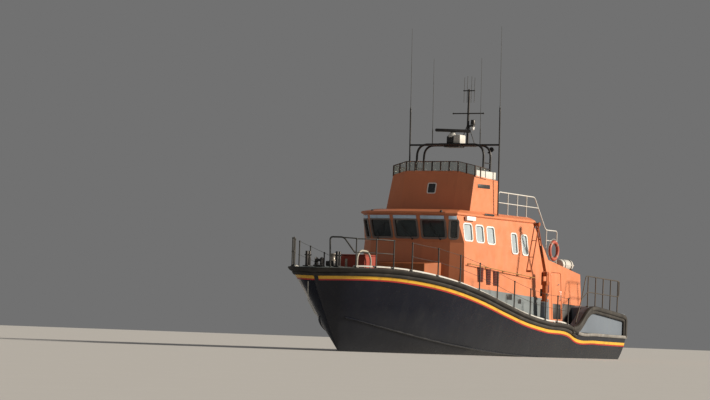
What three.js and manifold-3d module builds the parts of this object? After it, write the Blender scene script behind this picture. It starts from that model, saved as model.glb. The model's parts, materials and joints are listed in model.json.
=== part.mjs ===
// A 17.3 m all-weather motor lifeboat, in millimetres.
// +X points to the bow, +Y to port, +Z up. The origin is amidships, on the centreline at the waterline.

import * as THREE from "three";
import { mergeVertices } from "three/addons/utils/BufferGeometryUtils.js";
import Module from "manifold-3d";

const wasm = await Module();
wasm.setup();

// Driving sizes
const GAP = 0.4;
const TRANSOM_X = -8600;
const STEM_HALF = 45;
const DECK_THICK = 40;
const CAMBER = 0.02;
const WALL = 60;
const FENDER_OUT = 110;
const FENDER_TALL = 260;
const RAIL_R = 19;
const POST_R = 22;
const RAIL_INSET = 50;
const RAIL_TALL = 930;
const SILL_Z = 3700;
const HEAD_Z = 4600;
const ROOF_TOP_Z = 4800;
const BRIDGE_FLOOR_Z = 4950;
const ARCH_TOP_Z = 7120;
const ARCH_HALF = 1300;
const WELL_AFT_X = -5300;
const HOUSE_JOIN_X = -3530;
const HOUSE_END_X = -6080;

// Finishes
const paint = (color, roughness, metalness = 0) => ({ color, roughness, metalness });
const NAVY = paint(0x151b33, 0.25);
const ORANGE = paint(0xe8541c, 0.35);
const DECK_GREY = paint(0x6f777a, 0.8);
const PANEL_GREY = paint(0xa8b2bb, 0.45);
const RUBBER = paint(0x2b2b2a, 0.85);
const WHITE = paint(0xe9ebea, 0.4);
const BLACK = paint(0x15161a, 0.5);
const YELLOW = paint(0xe8a020, 0.4);
const RED = paint(0xa82020, 0.4);
const GLASS = paint(0x1a2228, 0.08);
const STEEL = paint(0x8c8f90, 0.35, 0.9);
const BRONZE = paint(0xa07a3a, 0.3, 0.9);

const group = new THREE.Group();

// Solid helpers

function solidFrom(points, faces) {
  const geometry = new THREE.BufferGeometry();
  geometry.setAttribute("position", new THREE.Float32BufferAttribute(points.flat(), 3));
  geometry.setIndex(faces.flat());
  return solidOf(geometry);
}

function signedVolume(vertices, triangles) {
  let sum = 0;
  const at = (k) => new THREE.Vector3(...vertices.slice(3 * k, 3 * k + 3));
  for (let t = 0; t < triangles.length; t += 3) {
    sum += at(triangles[t]).dot(at(triangles[t + 1]).cross(at(triangles[t + 2])));
  }
  return sum;
}

function solidOf(geometry) {
  geometry.deleteAttribute("normal");
  geometry.deleteAttribute("uv");
  const welded = mergeVertices(geometry, 1e-3);
  const vertices = Array.from(welded.attributes.position.array);
  const index = Array.from(welded.index.array);
  let triangles = [];
  for (let t = 0; t < index.length; t += 3) {
    const [a, b, c] = index.slice(t, t + 3);
    if (a !== b && b !== c && c !== a) triangles.push(a, b, c);
  }
  if (signedVolume(vertices, triangles) < 0) triangles = triangles.reverse();
  const vertProperties = new Float32Array(vertices);
  const triVerts = new Uint32Array(triangles);
  return new wasm.Manifold(new wasm.Mesh({ numProp: 3, vertProperties, triVerts }));
}

function union(solids) {
  return solids.reduce((whole, next) => whole.add(next));
}

function subtractAll(solid, cutters) {
  return cutters.reduce((left, cutter) => left.subtract(cutter), solid);
}

// The largest body of a solid, without the slivers that a grazing cut leaves.
function mainBody(solid) {
  return solid.decompose().reduce((best, next) => (next.volume() > best.volume() ? next : best));
}

function add(name, solid, finish) {
  const { vertProperties, triVerts } = solid.getMesh();
  const geometry = new THREE.BufferGeometry();
  geometry.setAttribute("position", new THREE.BufferAttribute(vertProperties, 3));
  geometry.setIndex(new THREE.BufferAttribute(triVerts, 1));
  const mesh = new THREE.Mesh(geometry, new THREE.MeshStandardMaterial(finish));
  mesh.name = name;
  group.add(mesh);
}

function ringArea(flat) {
  return flat.reduce((sum, p, i) => {
    const q = flat[(i + 1) % flat.length];
    return sum + p.x * q.y - q.x * p.y;
  }, 0);
}

// The axis that a ring faces most, by the sum of the cross products round it.
function facingAxis(ring) {
  const sum = new THREE.Vector3();
  ring.forEach((p, i) => {
    const q = ring[(i + 1) % ring.length];
    sum.add(new THREE.Vector3(...p).sub(new THREE.Vector3(...ring[0])).cross(
      new THREE.Vector3(...q).sub(new THREE.Vector3(...ring[0]))));
  });
  const size = sum.toArray().map(Math.abs);
  return size.indexOf(Math.max(...size));
}

// Flattens a ring on the plane that it faces most and fills it, in the ring's own turning sense.
function capFaces(ring, first, same) {
  const [u, v] = [0, 1, 2].filter((k) => k !== facingAxis(ring));
  const flat = ring.map((p) => new THREE.Vector2(p[u], p[v]));
  const sense = Math.sign(ringArea(flat)) * (same ? 1 : -1);
  return THREE.ShapeUtils.triangulateShape(flat, []).map((face) => {
    const turn = Math.sign(ringArea(face.map((k) => flat[k])));
    const ordered = turn === sense ? face : [...face].reverse();
    return ordered.map((k) => first + k);
  });
}

// Skins a row of rings that hold the same number of points, and closes both ends.
function loft(rings) {
  const count = rings[0].length;
  const faces = [];
  for (let r = 0; r + 1 < rings.length; r++) {
    for (let i = 0; i < count; i++) {
      const a = r * count + i;
      const b = r * count + ((i + 1) % count);
      faces.push([a, b, b + count], [a, b + count, a + count]);
    }
  }
  faces.push(...capFaces(rings[0], 0, false));
  faces.push(...capFaces(rings[rings.length - 1], (rings.length - 1) * count, true));
  return solidFrom(rings.flat(), faces);
}

function box([x0, x1], [y0, y1], [z0, z1]) {
  const geometry = new THREE.BoxGeometry(x1 - x0, y1 - y0, z1 - z0);
  geometry.translate((x0 + x1) / 2, (y0 + y1) / 2, (z0 + z1) / 2);
  return solidOf(geometry);
}

// Sweeps a section along points. Its first axis is each point's outward side, its second is square to that.
function sweep(points, sides, section) {
  const path = points.map((p) => new THREE.Vector3(...p));
  const rings = path.map((point, i) => {
    const before = path[Math.max(i - 1, 0)];
    const after = path[Math.min(i + 1, path.length - 1)];
    const along = after.clone().sub(before).normalize();
    const out = new THREE.Vector3(...sides[i]);
    out.addScaledVector(along, -out.dot(along)).normalize();
    const rise = along.clone().cross(out);
    const place = ([a, b]) => point.clone().addScaledVector(out, a).addScaledVector(rise, b).toArray();
    return section(i).map(place);
  });
  return loft(rings);
}

function circle(radius, count) {
  return Array.from({ length: count }, (_, k) => {
    const turn = (2 * Math.PI * (k + 0.5)) / count;
    return [radius * Math.cos(turn), radius * Math.sin(turn)];
  });
}

function tube(points, radius, count = 4) {
  const first = new THREE.Vector3(...points[1]).sub(new THREE.Vector3(...points[0])).normalize();
  let side = new THREE.Vector3(0, 0, 1).cross(first);
  if (side.length() < 0.1) side = new THREE.Vector3(1, 0, 0);
  side.normalize();
  let last = first;
  const sides = points.map((p, i) => {
    const next = points[Math.min(i + 1, points.length - 1)];
    const back = points[Math.max(i - 1, 0)];
    const along = new THREE.Vector3(...next).sub(new THREE.Vector3(...back)).normalize();
    side.applyQuaternion(new THREE.Quaternion().setFromUnitVectors(last, along));
    last = along;
    return side.toArray();
  });
  return sweep(points, sides, () => circle(radius, count));
}

// Rounds the inner corners of a run of points.
function bend(points, radius, steps = 3) {
  const path = points.map((p) => new THREE.Vector3(...p));
  const out = [points[0]];
  for (let i = 1; i + 1 < path.length; i++) {
    const toBack = path[i - 1].clone().sub(path[i]);
    const toNext = path[i + 1].clone().sub(path[i]);
    const reach = Math.min(radius, toBack.length() / 2, toNext.length() / 2);
    const start = path[i].clone().addScaledVector(toBack.normalize(), reach);
    const end = path[i].clone().addScaledVector(toNext.normalize(), reach);
    const curve = new THREE.QuadraticBezierCurve3(start, path[i], end);
    out.push(...curve.getPoints(steps).map((p) => p.toArray()));
  }
  out.push(points[points.length - 1]);
  return out;
}

function drum(center, axis, radius, length, count = 16, taper = 1) {
  const geometry = new THREE.CylinderGeometry(radius * taper, radius, length, count);
  const along = new THREE.Vector3(...axis).normalize();
  geometry.applyQuaternion(new THREE.Quaternion().setFromUnitVectors(new THREE.Vector3(0, 1, 0), along));
  geometry.translate(...center);
  return solidOf(geometry);
}

// An outline in the XZ plane, extruded between two values of Y.
function sidePrism(outline, y0, y1) {
  return loft([y0, y1].map((y) => outline.map(([x, z]) => [x, y, z])));
}

function roundedBox(width, height, radius, steps = 3) {
  const corners = [[1, 1, 0], [-1, 1, 1], [-1, -1, 2], [1, -1, 3]];
  return corners.flatMap(([sx, sy, quarter]) =>
    Array.from({ length: steps + 1 }, (_, k) => {
      const turn = (Math.PI / 2) * (quarter + k / steps);
      return [
        sx * (width / 2 - radius) + radius * Math.cos(turn),
        sy * (height / 2 - radius) + radius * Math.sin(turn),
      ];
    }));
}

const mirrorY = (points) => points.map(([x, y, z]) => [x, -y, z]);
const flip = (solid) => solid.mirror([0, 1, 0]);

// Hull lines: x, half-breadth and height at the keel, the chine and the sheer, and the topside's fullness.
const STATIONS = [
  // xKeel, zKeel, xChine, yChine, zChine, xSheer, ySheer, zSheer, fullness
  [TRANSOM_X, -620, TRANSOM_X, 2250, -50, TRANSOM_X, 2560, 860, 0.72],
  [-6000, -900, -6000, 2350, -60, -6000, 2680, 900, 0.72],
  [-4300, -1000, -4300, 2380, -50, -4300, 2760, 960, 0.72],
  [-3800, -1020, -3800, 2385, -45, -3800, 2780, 1110, 0.72],
  [-2000, -1060, -2000, 2380, 0, -2000, 2820, 1240, 0.72],
  [-500, -1080, -500, 2350, 60, -500, 2830, 1430, 0.7],
  [1000, -1080, 1000, 2280, 140, 1000, 2815, 1730, 0.68],
  [2500, -1060, 2500, 2130, 260, 2500, 2760, 2070, 0.64],
  [4000, -1000, 4000, 1860, 430, 4000, 2640, 2350, 0.6],
  [5200, -860, 5300, 1500, 640, 5500, 2370, 2550, 0.56],
  [6000, -620, 6350, 1080, 850, 6800, 1930, 2650, 0.52],
  [6600, -320, 7100, 680, 1020, 7750, 1420, 2660, 0.5],
  [6920, -60, 7560, 350, 1120, 8330, 830, 2640, 0.5],
  [7050, 80, 7800, STEM_HALF, 1180, 8600, STEM_HALF * 2, 2620, 0.5],
].map(([xKeel, zKeel, xChine, yChine, zChine, xSheer, ySheer, zSheer, fullness]) =>
  ({ xKeel, zKeel, xChine, yChine, zChine, xSheer, ySheer, zSheer, fullness }));

const deckCrown = (y) => CAMBER * y;

const PLAN_OUT = STATIONS.map((s, i) => {
  const a = STATIONS[Math.max(i - 1, 0)];
  const b = STATIONS[Math.min(i + 1, STATIONS.length - 1)];
  return new THREE.Vector2(a.ySheer - b.ySheer, b.xSheer - a.xSheer).normalize();
});

function hullRing(s, out, grow, raise) {
  const rise = 0.55;
  const xMid = s.xChine + rise * 1.12 * (s.xSheer - s.xChine);
  const yMid = s.yChine + s.fullness * (s.ySheer - s.yChine);
  const zMid = s.zChine + rise * (s.zSheer - s.zChine);
  const top = s.zSheer + grow + raise;
  const port = [[s.xChine, s.yChine, s.zChine], [xMid, yMid, zMid], [s.xSheer, s.ySheer, top]]
    .map(([x, y, z]) => [x + grow * out.x, y + grow * out.y, z]);
  return [
    [s.xKeel + grow * out.x, 0, s.zKeel - grow],
    ...port,
    [s.xSheer + grow * out.x, 0, top + deckCrown(s.ySheer)],
    ...mirrorY(port).reverse(),
  ];
}

// The starboard half of a solid and its mirror image, so that both sides fold the same way.
function symmetric(solid) {
  const half = solid.intersect(box([-10000, 10000], [-5000, 0], [-5000, 12000]));
  return half.add(flip(half));
}

function hullSolid(grow, raise = 0) {
  const rings = STATIONS.map((s, i) => hullRing(s, PLAN_OUT[i], grow, raise));
  rings[0].forEach((p) => (p[0] -= grow));
  return symmetric(loft(rings));
}

// Everything below the walking deck, as a cutter for what stands on it.
function deckBlock(lift) {
  const spread = 400;
  const rings = STATIONS.map((s) => {
    const edge = s.ySheer + spread;
    const z = s.zSheer + lift - deckCrown(spread);
    return [
      [s.xSheer, -edge, -3000],
      [s.xSheer, edge, -3000],
      [s.xSheer, edge, z],
      [s.xSheer, 0, s.zSheer + lift + deckCrown(s.ySheer)],
      [s.xSheer, -edge, z],
    ];
  });
  rings[rings.length - 1].forEach((p) => (p[0] += 400));
  return symmetric(loft(rings));
}

function between(x, key) {
  const after = STATIONS.findIndex((s) => s.xSheer >= x);
  const b = STATIONS[Math.max(after, 1)];
  const a = STATIONS[Math.max(after, 1) - 1];
  return a[key] + ((b[key] - a[key]) * (x - a.xSheer)) / (b.xSheer - a.xSheer);
}

const deckEdge = (x) => between(x, "ySheer");
const deckZ = (x, y) => between(x, "zSheer") + deckCrown(deckEdge(x) - Math.abs(y));

// Raised quarter deck: x, half-breadth and top height, from the transom to the foot of the rising sheer.
const QUARTER = [
  [-8580, 2515, 1640],
  [-7000, 2600, 1740],
  [-5700, 2670, 1850],
  [-5350, 2685, 1800],
  [-5000, 2700, 1620],
  [-4700, 2710, 1340],
  [-4380, 2715, 1130],
];

const QUARTER_FOOT = 800;

function quarterSolid(grow) {
  const rings = QUARTER.map(([x, y, z], i) => {
    const end = i === 0 ? -grow : i === QUARTER.length - 1 ? grow : 0;
    return [
      [x + end, -y - grow, QUARTER_FOOT],
      [x + end, y + grow, QUARTER_FOOT],
      [x + end, y + grow, z + grow],
      [x + end, -y - grow, z + grow],
    ];
  });
  const wellHalf = 2400 - grow;
  const well = box([WELL_AFT_X + grow, -4000], [-wellHalf, wellHalf], [1080 + grow, 3000]);
  return loft(rings).subtract(well);
}

function buildHull() {
  const keel = sidePrism([[3200, -900], [1500, -1420], [-6000, -1420], [-6600, -700]], -90, 90);
  const bilge = sidePrism([[-2800, -150], [-3600, -1780], [-6900, -1780], [-7300, -150]], 1560, 1660);
  const pockets = [1, -1].map((side) => {
    const y = side > 0 ? [330, 1330] : [-1330, -330];
    return box([-5210, -2690], y, [-510, 2000]);
  });
  const skin = hullSolid(GAP);
  add("hull", subtractAll(hullSolid(0).intersect(deckBlock(-DECK_THICK - GAP)), pockets), NAVY);
  add("centre_keel", mainBody(keel.subtract(skin)), NAVY);
  add("bilge_keel_port", mainBody(bilge.subtract(skin)), NAVY);
  add("bilge_keel_starboard", mainBody(flip(bilge).subtract(skin)), NAVY);
  for (const [name, y] of [["engine_port", [340, 1320]], ["engine_starboard", [-1320, -340]]]) {
    add(name, box([-5200, -2700], y, [-509, 640]), STEEL);
  }
}

const DECK_AFT_X = -4360;

function deckPlate() {
  const inset = 12;
  const fore = box([DECK_AFT_X, 9000], [-4000, 4000], [0, 4000]);
  return hullSolid(-inset, 60).intersect(slab(0, -DECK_THICK)).intersect(fore);
}

const GROUNDS = [deckBlock(GAP), quarterSolid(GAP)];

function buildDecks() {
  add("main_deck", deckPlate(), DECK_GREY);
  add("quarter_deck", quarterSolid(0).subtract(deckBlock(-DECK_THICK)), PANEL_GREY);
}

// Middle of the fender where it leaves the sheer, climbs to the quarter deck and ends on the transom corner.
const QUARTER_FENDER = [
  [-8470, 2530, 800],
  [-8470, 2530, 1300],
  [-8400, 2535, 1440],
  [-8250, 2545, 1520],
  [-7000, 2610, 1620],
  [-5750, 2680, 1730],
  [-5400, 2690, 1690],
  [-5080, 2705, 1530],
  [-4760, 2720, 1260],
  [-4450, 2740, 1060],
  [-4150, 2760, 985],
  [-3800, 2775, 985],
];

function slab(top, low) {
  return deckBlock(top).subtract(deckBlock(low));
}

function planSides(path) {
  return path.map((p, i) => {
    const a = path[Math.max(i - 1, 0)];
    const b = path[Math.min(i + 1, path.length - 1)];
    const run = new THREE.Vector2(b[0] - a[0], b[1] - a[1]);
    if (run.length() < 200) return [0, 1, 0];
    run.normalize();
    return [-run.y, run.x, 0];
  });
}

function buildFender() {
  const belt = hullSolid(FENDER_OUT).intersect(slab(0, -FENDER_TALL))
    .subtract(box([-9000, -3900], [-4000, 4000], [-100, 3000]));
  const aft = box([TRANSOM_X, -3850], [-4000, 4000], [0, 3000]);
  const strake = hullSolid(70).intersect(slab(0, -110)).intersect(aft);
  const half = FENDER_TALL / 2;
  const upper = [[-30, half], [70, half], [FENDER_OUT, 65]];
  const section = () => [...upper, ...upper.map(([out, up]) => [out, -up]).reverse()];
  const rise = sweep(QUARTER_FENDER, QUARTER_FENDER.map(() => [0, 1, 0]), section);
  const carriers = [hullSolid(GAP), hullSolid(GAP, 60), quarterSolid(GAP)];
  const whole = subtractAll(union([belt, strake, rise, flip(rise)]), carriers);
  add("sheer_fender", mainBody(whole), RUBBER);
}

function buildStripes() {
  const skin = hullSolid(4).subtract(hullSolid(GAP));
  const rows = [["stripe_yellow", 2, 95, YELLOW], ["stripe_red", 96, 140, RED]];
  for (const [name, top, low, finish] of rows) {
    const stripe = skin.intersect(slab(-FENDER_TALL - top, -FENDER_TALL - low));
    add(name, mainBody(stripe.intersect(box([TRANSOM_X, 9000], [-4000, 4000], [0, 3000]))), finish);
  }
}

function insetPath(from, to, inset, lift, step = 1300) {
  const count = Math.round((to - from) / step);
  return Array.from({ length: count + 1 }, (_, k) => {
    const x = from + ((to - from) * k) / count;
    return [x, deckEdge(x) - inset, between(x, "zSheer") + lift];
  });
}

// Toe rail and guard rails, port side first, then mirrored.
const POSTS_FORWARD = [8000, 7450, 6850];
const POSTS_SIDE = [6150, 5000, 3850, 2700, 1550, 400, -750, -1900, -2800, -3650];

function guardRail(posts, lifts) {
  const foot = (x) => [x, deckEdge(x) - RAIL_INSET, between(x, "zSheer") - 30];
  const at = (x, lift) => [x, deckEdge(x) - RAIL_INSET, between(x, "zSheer") + lift];
  const uprights = posts.map((x) => tube([foot(x), at(x, RAIL_TALL)], POST_R));
  const runs = lifts.map((lift) => tube(posts.map((x) => at(x, lift)), RAIL_R));
  return subtractAll(union([...uprights, ...runs]), GROUNDS);
}

function buildRails() {
  const toePath = insetPath(-3900, 8000, 115, 0);
  const toeSweep = sweep(toePath, planSides(toePath), () => [[-25, -60], [-25, 75], [25, 75], [25, -60]]);
  const toe = subtractAll(toeSweep, GROUNDS);
  const side = guardRail(POSTS_SIDE, [RAIL_TALL - 20, 480]);
  const forward = guardRail(POSTS_FORWARD, [RAIL_TALL - 20, 480]);
  const brace = union([
    tube(bend([[8330, 420, 2600], [8360, 400, 3600], [8230, 830, 3600], [8020, 1130, 3120]], 60), 26),
    tube([[8230, 830, 3600], [8000, 1130 + 8, 3575]], RAIL_R),
  ]).subtract(GROUNDS[0]);
  add("toe_rail_port", toe, WHITE);
  add("toe_rail_starboard", flip(toe), WHITE);
  add("side_rail_port", side, BLACK);
  add("side_rail_starboard", flip(side), BLACK);
  add("bow_rail_port", forward.add(brace), BLACK);
  add("bow_rail_starboard", flip(forward), BLACK);

  const sternPosts = [-5450, -6100, -6750, -7400, -8050].map((x) => [x, 2560 + (x + 5450) * 0.045]);
  const sternTop = (x) => 2900 + (x + 5450) * 0.035;
  const uprights = sternPosts.map(([x, y]) => tube([[x, y, 1500], [x, y, sternTop(x)]], POST_R));
  const run = (drop) => tube(sternPosts.map(([x, y]) => [x, y, sternTop(x) + drop]), RAIL_R);
  const runs = [0, -560].map(run);
  const corners = [[-4500, 2600, 1300], [-4900, 2590, 2000], [-5250, 2575, 2907], [-5450, 2560, 2900]];
  const front = tube(bend(corners, 150), RAIL_R);
  const foot = tube([[-4500, 2600, 1100], [-4500, 2600, 1320]], RAIL_R);
  const stern = subtractAll(union([...uprights, ...runs, front, foot]), GROUNDS);
  add("quarter_rail_port", stern, STEEL);
  add("quarter_rail_starboard", flip(stern), STEEL);
}

// Wheelhouse. Half of the plan ring at each height: centre front, side front, corner, aft corner.
const HOUSE_LEVELS = [
  // z, xCentre, xSide, ySide, xCorner, yCorner, xAft, yAft
  [700, 2980, 2820, 1570, 2570, 2080, HOUSE_JOIN_X, 2080],
  [3410, 2850, 2690, 1530, 2440, 1935, HOUSE_JOIN_X, 1935],
  [SILL_Z, 2835, 2675, 1520, 2425, 1915, -3300, 1915],
  [HEAD_Z, 3130, 2970, 1450, 2780, 1790, -2600, 1790],
].map(([z, xCentre, xSide, ySide, xCorner, yCorner, xAft, yAft]) =>
  ({ z, xCentre, xSide, ySide, xCorner, yCorner, xAft, yAft }));
const FRONT_HALF = 500;

function houseSolid(inset, over = 0) {
  const rings = HOUSE_LEVELS.map((level) => {
    const port = [
      [level.xCentre - inset, FRONT_HALF, level.z],
      [level.xSide - inset, level.ySide - inset * 0.6, level.z],
      [level.xCorner - inset * 0.8, level.yCorner - inset, level.z],
      [level.xAft + inset, level.yAft - inset, level.z],
    ];
    return [...port, ...mirrorY(port).reverse()];
  });
  if (over > 0) {
    const shifted = (ring, dz) => ring.map(([x, y, z]) => [x, y, z + dz]);
    return loft([shifted(rings[0], -over), ...rings, shifted(rings[rings.length - 1], over)]);
  }
  return loft(rings);
}

// Side windows: x of the forward edge, width, z of the foot, height.
const SIDE_WINDOWS = [
  [2380, 560, 3790, 560],
  [1560, 520, 3770, 560],
  [800, 520, 3750, 560],
  [-900, 400, 3500, 680],
  [-1640, 400, 3480, 680],
];
// Front windows: y of the middle, width. The corner panes stand at an angle.
const FRONT_WINDOWS = [[0, 840], [1000, 800], [-1000, 800]];
const FRONT_WINDOW_Z = [3850, 4420];

function windowCutters() {
  const sides = SIDE_WINDOWS.map(([x, width, z, height]) => {
    const outline = roundedBox(width, height, 90).map(([a, b]) => [x - width / 2 + a, z + height / 2 + b]);
    return sidePrism(outline, -3000, 3000);
  });
  const [low, high] = FRONT_WINDOW_Z;
  const pane = (width) => roundedBox(width, high - low, 60).map(([a, b]) => [a, (low + high) / 2 + b]);
  const fronts = FRONT_WINDOWS.map(([y, width]) =>
    loft([2300, 3600].map((x) => pane(width).map(([a, z]) => [x, y + a, z]))));
  const corner = loft([-500, 500].map((reach) => pane(250).map(([a, z]) =>
    [2710 + reach * 0.78 - a * 0.62, 1660 + reach * 0.62 + a * 0.78, z])));
  return [...sides, ...fronts, corner, flip(corner)];
}

function buildWheelhouse() {
  const doorway = box([-3800, -3000], [-400, 400], [1500, 3150]);
  const shell = houseSolid(0).subtract(houseSolid(WALL, 200));
  add("wheelhouse", subtractAll(shell, [...GROUNDS, ...windowCutters(), doorway]), ORANGE);

  const band = houseSolid(WALL + GAP, 0).subtract(houseSolid(WALL + 10, 200));
  add("window_glass", band.intersect(box([-2250, 3300], [-2500, 2500], [3440, 4480])), GLASS);

  const sole = box([-3300, 2400], [-1650, 1650], [2520, 2560]);
  const desk = [[1900, 2540], [2400, 2540], [2500, 3560], [2200, 3640], [2000, 3400]];
  const console = sidePrism(desk, -1400, 1400);
  const seat = (x, y) => union([
    box([x - 120, x + 120], [y - 120, y + 120], [2540, 3000]),
    box([x - 250, x + 250], [y - 250, y + 250], [2990, 3120]),
    box([x - 320, x - 200], [y - 240, y + 240], [3000, 3800]),
  ]);
  const seats = [[1300, 0], [1150, 1050], [1150, -1050], [-300, 1050], [-300, -1050], [-1500, 0]];
  const deck = union([sole, console, ...seats.map(([x, y]) => seat(x, y))]);
  add("wheelhouse_sole", deck, BLACK);
}

function roofSolid(grow) {
  const levels = [
    // z, xCentre, xSide, ySide, xCorner, yCorner, xAft, yAft
    [HEAD_Z + GAP - grow, 3200, 3040, 1500, 2830, 1850, -2650, 1850],
    [4690, 3210, 3050, 1510, 2840, 1860, -2660, 1860],
    [ROOF_TOP_Z, 2500, 2400, 1350, 2250, 1640, -2580, 1640],
  ];
  return loft(levels.map(([z, xCentre, xSide, ySide, xCorner, yCorner, xAft, yAft], i) => {
    const up = i > 0 ? grow : 0;
    const port = [
      [xCentre + grow, FRONT_HALF, z + up],
      [xSide + grow, ySide, z + up],
      [xCorner + grow, yCorner + grow, z + up],
      [xAft - grow, yAft + grow, z + up],
    ];
    return [...port, ...mirrorY(port).reverse()];
  }));
}

// Aft house, lower than the wheelhouse, with a door in each side.
const AFT_TOP = [[HOUSE_JOIN_X - GAP, 3400], [HOUSE_END_X, 2970]];
const DOOR = { x0: -4500, x1: -3800, z0: 1290, z1: 2950 };

function aftHouseSolid(inset, fore = 0) {
  const [[x1, z1], [x0, z0]] = AFT_TOP;
  const ring = (x, z) => [
    [x, -2080 + inset, 700 - fore],
    [x, 2080 - inset, 700 - fore],
    [x, 1920 - inset, z - inset],
    [x, -1920 + inset, z - inset],
  ];
  return loft([ring(x0 + inset, z0), ring(x1 + fore, z1)]);
}

function aftRoofZ(x) {
  const [[x1, z1], [x0, z0]] = AFT_TOP;
  return z0 + ((z1 - z0) * (x - x0)) / (x1 - x0);
}

function doorSolid(grow) {
  const { x0, x1, z0, z1 } = DOOR;
  const outline = roundedBox(x1 - x0 + 2 * grow, z1 - z0 + 2 * grow, 90 + grow)
    .map(([a, b]) => [(x0 + x1) / 2 + a, (z0 + z1) / 2 + b]);
  return sidePrism(outline, 1500, 2500);
}

function buildAftHouse() {
  const shell = aftHouseSolid(0).subtract(aftHouseSolid(WALL, 100));
  const openings = [doorSolid(6), flip(doorSolid(6))];
  add("aft_house", subtractAll(shell, [...GROUNDS, ...openings]), ORANGE);
  const leaf = aftHouseSolid(2).subtract(aftHouseSolid(WALL - 12, 100)).intersect(doorSolid(0));
  add("door_port", leaf, ORANGE);
  add("door_starboard", flip(leaf), ORANGE);
}

// Flying bridge
const BRIDGE_RING = [
  // x, y at the foot, then x, y, z at the top
  [1700, 1050, 1420, 1000, 6110],
  [1600, 1620, 1280, 1580, 5980],
  [-420, 1620, -380, 1580, 5880],
];

function bridgeRing(inset, k, z) {
  const port = BRIDGE_RING.map(([x0, y0, x1, y1, top]) => {
    const x = x0 + (x1 - x0) * k;
    const y = y0 + (y1 - y0) * k;
    const side = y - (y > 1200 ? inset : inset * 0.3);
    return [x > 0 ? x - inset : x, side, z ?? top];
  });
  return [...port, ...mirrorY(port).reverse()];
}

function buildBridge() {
  const outer = loft([bridgeRing(0, 0, ROOF_TOP_Z + GAP), bridgeRing(0, 1)]);
  const inner = loft([bridgeRing(WALL, 0.12, BRIDGE_FLOOR_Z), bridgeRing(WALL, 1.2, 6400)]);
  const aft = box([-700, -300], [-1560, 1560], [BRIDGE_FLOOR_Z, 6400]);
  add("flying_bridge", outer.subtract(inner).subtract(aft), ORANGE);

  const raise = (rise, inset) => bridgeRing(inset, 1).map(([x, y, z]) => [x, y, z + rise]);
  const screen = loft([raise(GAP, 15), raise(340, 15)]).subtract(loft([raise(-20, 27), raise(380, 27)]));
  const behind = box([-1000, 500], [-2000, 2000], [5000, 7000]);
  add("bridge_windscreen", mainBody(subtractAll(screen, [behind, outer.translate([0, 0, GAP])])), GLASS);

  const console = sidePrism([[900, 4951], [1250, 4951], [1180, 5800], [950, 5880], [800, 5700]], -900, 900);
  const seats = [-560, 560].map((y) => union([
    box([60, 260], [y - 100, y + 100], [4951, 5420]),
    box([-60, 420], [y - 240, y + 240], [5410, 5520]),
    box([-140, -40], [y - 230, y + 230], [5420, 6020]),
  ]));
  const plinth = box([-140, 1200], [-700, 700], [4950 + GAP, 4980]);
  const overRoof = console.subtract(box([0, 2000], [-2000, 2000], [4000, 4950 + GAP]));
  add("bridge_helm", union([overRoof, ...seats, plinth]), BLACK);
}

// Radar arch, mast and aerials
const TURNING_GAP = 6;
const RADAR = { x: -40, y: -60, tall: 370, reach: 610, turned: 29.5 };
const MAST = { x: -750, y: 120, top: 9080, yardZ: 8250, yardHalf: 590 };

function buildArch() {
  const hoop = (x) => tube(bend([
    [x, -ARCH_HALF, BRIDGE_FLOOR_Z + GAP],
    [x, -ARCH_HALF, ARCH_TOP_Z],
    [x, ARCH_HALF, ARCH_TOP_Z],
    [x, ARCH_HALF, BRIDGE_FLOOR_Z + GAP],
  ], 420, 4), 38, 6);
  const ties = [-1, 1].flatMap((side) => [5900, 6300].map((z) =>
    tube([[-280, side * ARCH_HALF, z], [200, side * ARCH_HALF, z]], 24)));
  const crossbar = tube([[-60, -1745, ARCH_TOP_Z], [-60, 1745, ARCH_TOP_Z]], 32, 6);
  const link = (y) => box([-280, 200], [y - 30, y + 30], [ARCH_TOP_Z - 20, ARCH_TOP_Z + 20]);
  const links = [-800, 800].map(link);
  const platform = box([-860, 260], [-420, 420], [ARCH_TOP_Z - 10, ARCH_TOP_Z + 40]);
  const solid = union([hoop(200), hoop(-280), ...ties, crossbar, ...links, platform, ...whips()]);
  add("radar_arch", solid.subtract(roofSolid(GAP)), BLACK);

  const pedestalZ = ARCH_TOP_Z + 40 + GAP;
  const pedestalTop = pedestalZ + RADAR.tall;
  const pedestal = union([
    box([RADAR.x - 200, RADAR.x + 200], [RADAR.y - 150, RADAR.y + 400], [pedestalZ, pedestalTop - 70]),
    drum([RADAR.x, RADAR.y, pedestalTop - 40], [0, 0, 1], 120, 80),
  ]);
  add("radar_pedestal", pedestal, WHITE);
  const scannerZ = pedestalTop + TURNING_GAP;
  const turn = [0, 0, RADAR.turned];
  const bar = box([-80, 80], [-RADAR.reach, RADAR.reach], [20, 120]);
  const scanner = union([bar, drum([0, 0, 15], [0, 0, 1], 80, 30)]).rotate(turn);
  add("radar_scanner", scanner.translate([RADAR.x, RADAR.y, scannerZ]), BLACK);

  const { x, y, top, yardZ, yardHalf } = MAST;
  const pole = tube([[x, y, pedestalZ], [x, y, top]], 46, 8);
  const yard = (half, z, r) => tube([[x, y - half, z], [x, y + half, z]], r);
  const dipoles = [-190, -70, 90, 210].map((d) => tube([[x, y + d, top - 460], [x, y + d, top + 480]], 9));
  const bracket = box([x - 80, x + 80], [y + 40, y + 270], [7780, 7860]);
  const camera = drum([x, y + 190, 7900], [0, 0, 1], 85, 260, 10);
  const yards = [yard(yardHalf, yardZ, 20), yard(225, top - 50, 18)];
  add("mast", union([pole, ...yards, ...dipoles, bracket, camera]), BLACK);
}

// Whip aerials, clamped to the arch: y, z of the foot, z where the thick part ends, z of the tip.
const WHIPS = [
  [1745, 4700, 8370, 11110],
  [-1745, 4700, 8370, 11110],
  [1000, ARCH_TOP_Z - 20, ARCH_TOP_Z + 500, 10050],
  [-860, ARCH_TOP_Z - 20, ARCH_TOP_Z + 500, 10050],
];

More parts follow.
